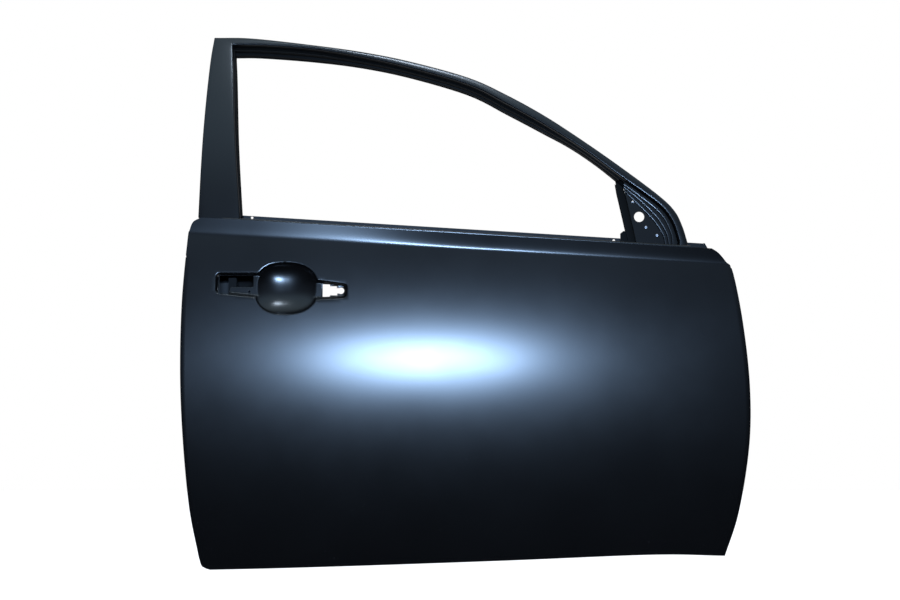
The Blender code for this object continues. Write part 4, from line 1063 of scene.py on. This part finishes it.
def primer(name, colour, roughness, spread, peel, dust=DUST_SIZE, shine=0.5):
    """Electrocoat primer: a satin film with orange peel, a little cloudiness and dust in it."""
    nodes = Nodes(name, colour, roughness)
    nodes.shader.inputs["Specular IOR Level"].default_value = shine
    cloud = nodes.ramp(nodes.noise(7.0, 4.0), 0.3, 0.7, -spread, spread)
    specks = nodes.specks(70.0, dust)
    low = nodes.ramp(nodes.height(), *DUST_SPAN, 0.25, 1.0)
    specks = nodes.maths("MULTIPLY", specks, low)
    marks = nodes.maths("MULTIPLY", specks, nodes.ramp(nodes.noise(16.0), 0.5, 0.62, 0.0, 1.0))
    rough = nodes.maths("ADD", cloud, roughness)
    rough = nodes.maths("ADD", rough, nodes.maths("MULTIPLY", marks, DUST_ROUGHNESS))
    nodes.link(rough, nodes.shader.inputs["Roughness"])
    nodes.colours(marks, colour, DUST)
    nodes.bump(nodes.noise(420.0, 2.0), peel)
    return nodes.material


def mastic():
    """Rubbery compound, dull and uneven."""
    nodes = Nodes("mastic", (0.018, 0.018, 0.019), 0.7)
    nodes.link(nodes.ramp(nodes.noise(60.0), 0.3, 0.7, 0.6, 0.8), nodes.shader.inputs["Roughness"])
    nodes.colours(nodes.noise(120.0), (0.014, 0.014, 0.015), (0.03, 0.03, 0.031))
    nodes.bump(nodes.noise(160.0, 3.0), 0.0006)
    return nodes.material


PANEL = primer("panel_primer", (0.0012, 0.0013, 0.0016), 0.235, 0.012, 0.000002, dust=0.05)
# Darker, duller copy of the primer for the inner panel's side towards the skin: painted shade on
# the belt strip.
STRIP_SHADE_PRIMER = primer("inner_primer", (0.0022, 0.0023, 0.0026), 0.42, 0.03, 0.00001, shine=0.1)
CABIN_SIDE = primer("cabin_primer", (0.0035, 0.0037, 0.0041), 0.36, 0.03, 0.00001, shine=0.4)
MATT = primer("matt_primer", (0.0014, 0.0014, 0.0014), 0.5, 0.05, 0.00002, shine=0.08)
REINFORCEMENT = primer("reinforcement_primer", (0.004, 0.0042, 0.0046), 0.38, 0.05, 0.00002)
NUT_STEEL = primer("nut_primer", (0.0045, 0.0045, 0.0048), 0.45, 0.06, 0.00003, shine=0.25)
MASTIC = mastic()


# The door


outer_panel()
window_frame()
mirror_triangle()
division_channel()
inner_panel()
handle_bracket()
mirror_nuts()

for node, solid in frame["nodes"].items():
    if node.startswith(("hinge_weld_nut", "mirror_weld_nut")):
        finish = NUT_STEEL
    elif node.startswith("anti_flutter_pad"):
        finish = MASTIC
    elif node in ("rear_glass_channel", "rear_channel_bracket"):
        finish = MATT
    else:
        finish = REINFORCEMENT
    for material_slot in solid.material_slots:
        material_slot.material = finish


# Studio


def stage_material(name, colour, glow):
    """Pale matt surface, which glows for the camera and for reflections as a lit backdrop does."""
    material = bpy.data.materials.new(name)
    material.use_nodes = True
    tree = material.node_tree
    shader = tree.nodes["Principled BSDF"]
    shader.inputs["Base Color"].default_value = (*colour, 1)
    shader.inputs["Roughness"].default_value = 0.9
    shader.inputs["Emission Color"].default_value = (1, 1, 1, 1)
    path = tree.nodes.new("ShaderNodeLightPath")
    add = tree.nodes.new("ShaderNodeMath")
    add.operation = "ADD"
    add.use_clamp = True
    tree.links.new(path.outputs["Is Camera Ray"], add.inputs[0])
    tree.links.new(path.outputs["Is Glossy Ray"], add.inputs[1])
    scale = tree.nodes.new("ShaderNodeMath")
    scale.operation = "MULTIPLY"
    scale.inputs[1].default_value = glow
    tree.links.new(add.outputs["Value"], scale.inputs[0])
    tree.links.new(scale.outputs["Value"], shader.inputs["Emission Strength"])
    return material


FLOOR_Z = -0.66
FLOOR_CORNERS = [(-4.0, -0.12), (3.0, -0.12), (3.0, 3.5), (-4.0, 3.5)]


def floor():
    bm = bmesh.new()
    bm.faces.new([bm.verts.new((x, y, FLOOR_Z)) for x, y in FLOOR_CORNERS])
    obj = object_of("studio_floor", bm, Vector((0, 0, 1)))
    obj.data.materials.append(stage_material("studio_floor", (0.86, 0.86, 0.86), 0.55))


# Tones of the room from straight down to straight up, which the door mirrors
ROOM = [
    (0.0, (0.012, 0.013, 0.015)), (0.12, (0.02, 0.024, 0.03)), (0.32, (0.05, 0.068, 0.095)),
    (0.5, (0.16, 0.22, 0.31)), (0.7, (0.52, 0.76, 1.0)), (1.0, (0.62, 0.84, 1.0)),
]
BEHIND = (0.36, 0.37, 0.39)  # tone of the room's inner half, seen by the cabin side
EVEN_LIGHT = (0.68, 0.7, 0.74)  # on everything matt


def world():
    """White to the camera. What the skin mirrors is a dark room under a pale overhead light, and
    everything matt gets even light."""
    made = bpy.data.worlds.new("studio")
    bpy.context.scene.world = made
    made.use_nodes = True
    tree = made.node_tree
    tree.nodes.clear()
    links = tree.links

    def add(kind, **values):
        node = tree.nodes.new(kind)
        for key, value in values.items():
            setattr(node, key, value)
        return node

    split = add("ShaderNodeSeparateXYZ")
    links.new(add("ShaderNodeTexCoord").outputs["Generated"], split.inputs["Vector"])
    ramp = add("ShaderNodeValToRGB")
    links.new(split.outputs["Z"], ramp.inputs["Fac"])
    elements = ramp.color_ramp.elements
    while len(elements) < len(ROOM):
        elements.new(0.5)
    for element, (position, colour) in zip(elements, ROOM):
        element.position = position
        element.color = (*colour, 1)
    behind = add("ShaderNodeMapRange", interpolation_type="SMOOTHSTEP")
    behind.inputs["From Min"].default_value = -0.1
    behind.inputs["From Max"].default_value = 0.45
    links.new(split.outputs["Y"], behind.inputs["Value"])
    room = add("ShaderNodeMix", data_type="RGBA")
    links.new(behind.outputs["Result"], room.inputs["Factor"])
    links.new(ramp.outputs["Color"], room.inputs["A"])
    room.inputs["B"].default_value = (*BEHIND, 1)
    path = add("ShaderNodeLightPath")
    shiny = add("ShaderNodeMath", operation="ADD", use_clamp=True)
    links.new(path.outputs["Is Glossy Ray"], shiny.inputs[0])
    links.new(path.outputs["Is Transmission Ray"], shiny.inputs[1])
    matt = add("ShaderNodeMix", data_type="RGBA")
    links.new(shiny.outputs["Value"], matt.inputs["Factor"])
    matt.inputs["A"].default_value = (*EVEN_LIGHT, 1)
    links.new(room.outputs["Result"], matt.inputs["B"])
    seen = add("ShaderNodeMix", data_type="RGBA")
    links.new(path.outputs["Is Camera Ray"], seen.inputs["Factor"])
    links.new(matt.outputs["Result"], seen.inputs["A"])
    seen.inputs["B"].default_value = (1, 1, 1, 1)
    background = add("ShaderNodeBackground")
    links.new(seen.outputs["Result"], background.inputs["Color"])
    links.new(background.outputs["Background"], add("ShaderNodeOutputWorld").inputs["Surface"])


def lamp(name, place, target, size, power, colour):
    light = bpy.data.lights.new(name, "AREA")
    light.shape = "RECTANGLE"
    light.size, light.size_y = size
    light.energy = power
    light.color = colour
    obj = bpy.data.objects.new(name, light)
    obj.location = place
    obj.rotation_euler = (Vector(target) - Vector(place)).to_track_quat("-Z", "Y").to_euler()
    bpy.context.scene.collection.objects.link(obj)


def camera():
    data = bpy.data.cameras.new("camera")
    data.lens = 90
    data.sensor_width = 36
    obj = bpy.data.objects.new("camera", data)
    obj.location = (-0.556, -4.536, 0.024)
    obj.rotation_euler = (math.pi / 2, 0, 0)
    bpy.context.scene.collection.objects.link(obj)
    bpy.context.scene.camera = obj


floor()
world()
camera()
lamp("key", (-0.7, -5.0, 0.64), (-0.59, 0, -0.09), (0.95, 0.3), 270, (0.43, 0.65, 1.0))
lamp("ceiling", (-0.74, -1.15, 2.9), (-0.7, 0, 0.4), (0.56, 0.2), 25, (0.7, 0.83, 1.0))
bpy.context.scene.view_settings.view_transform = "Standard"
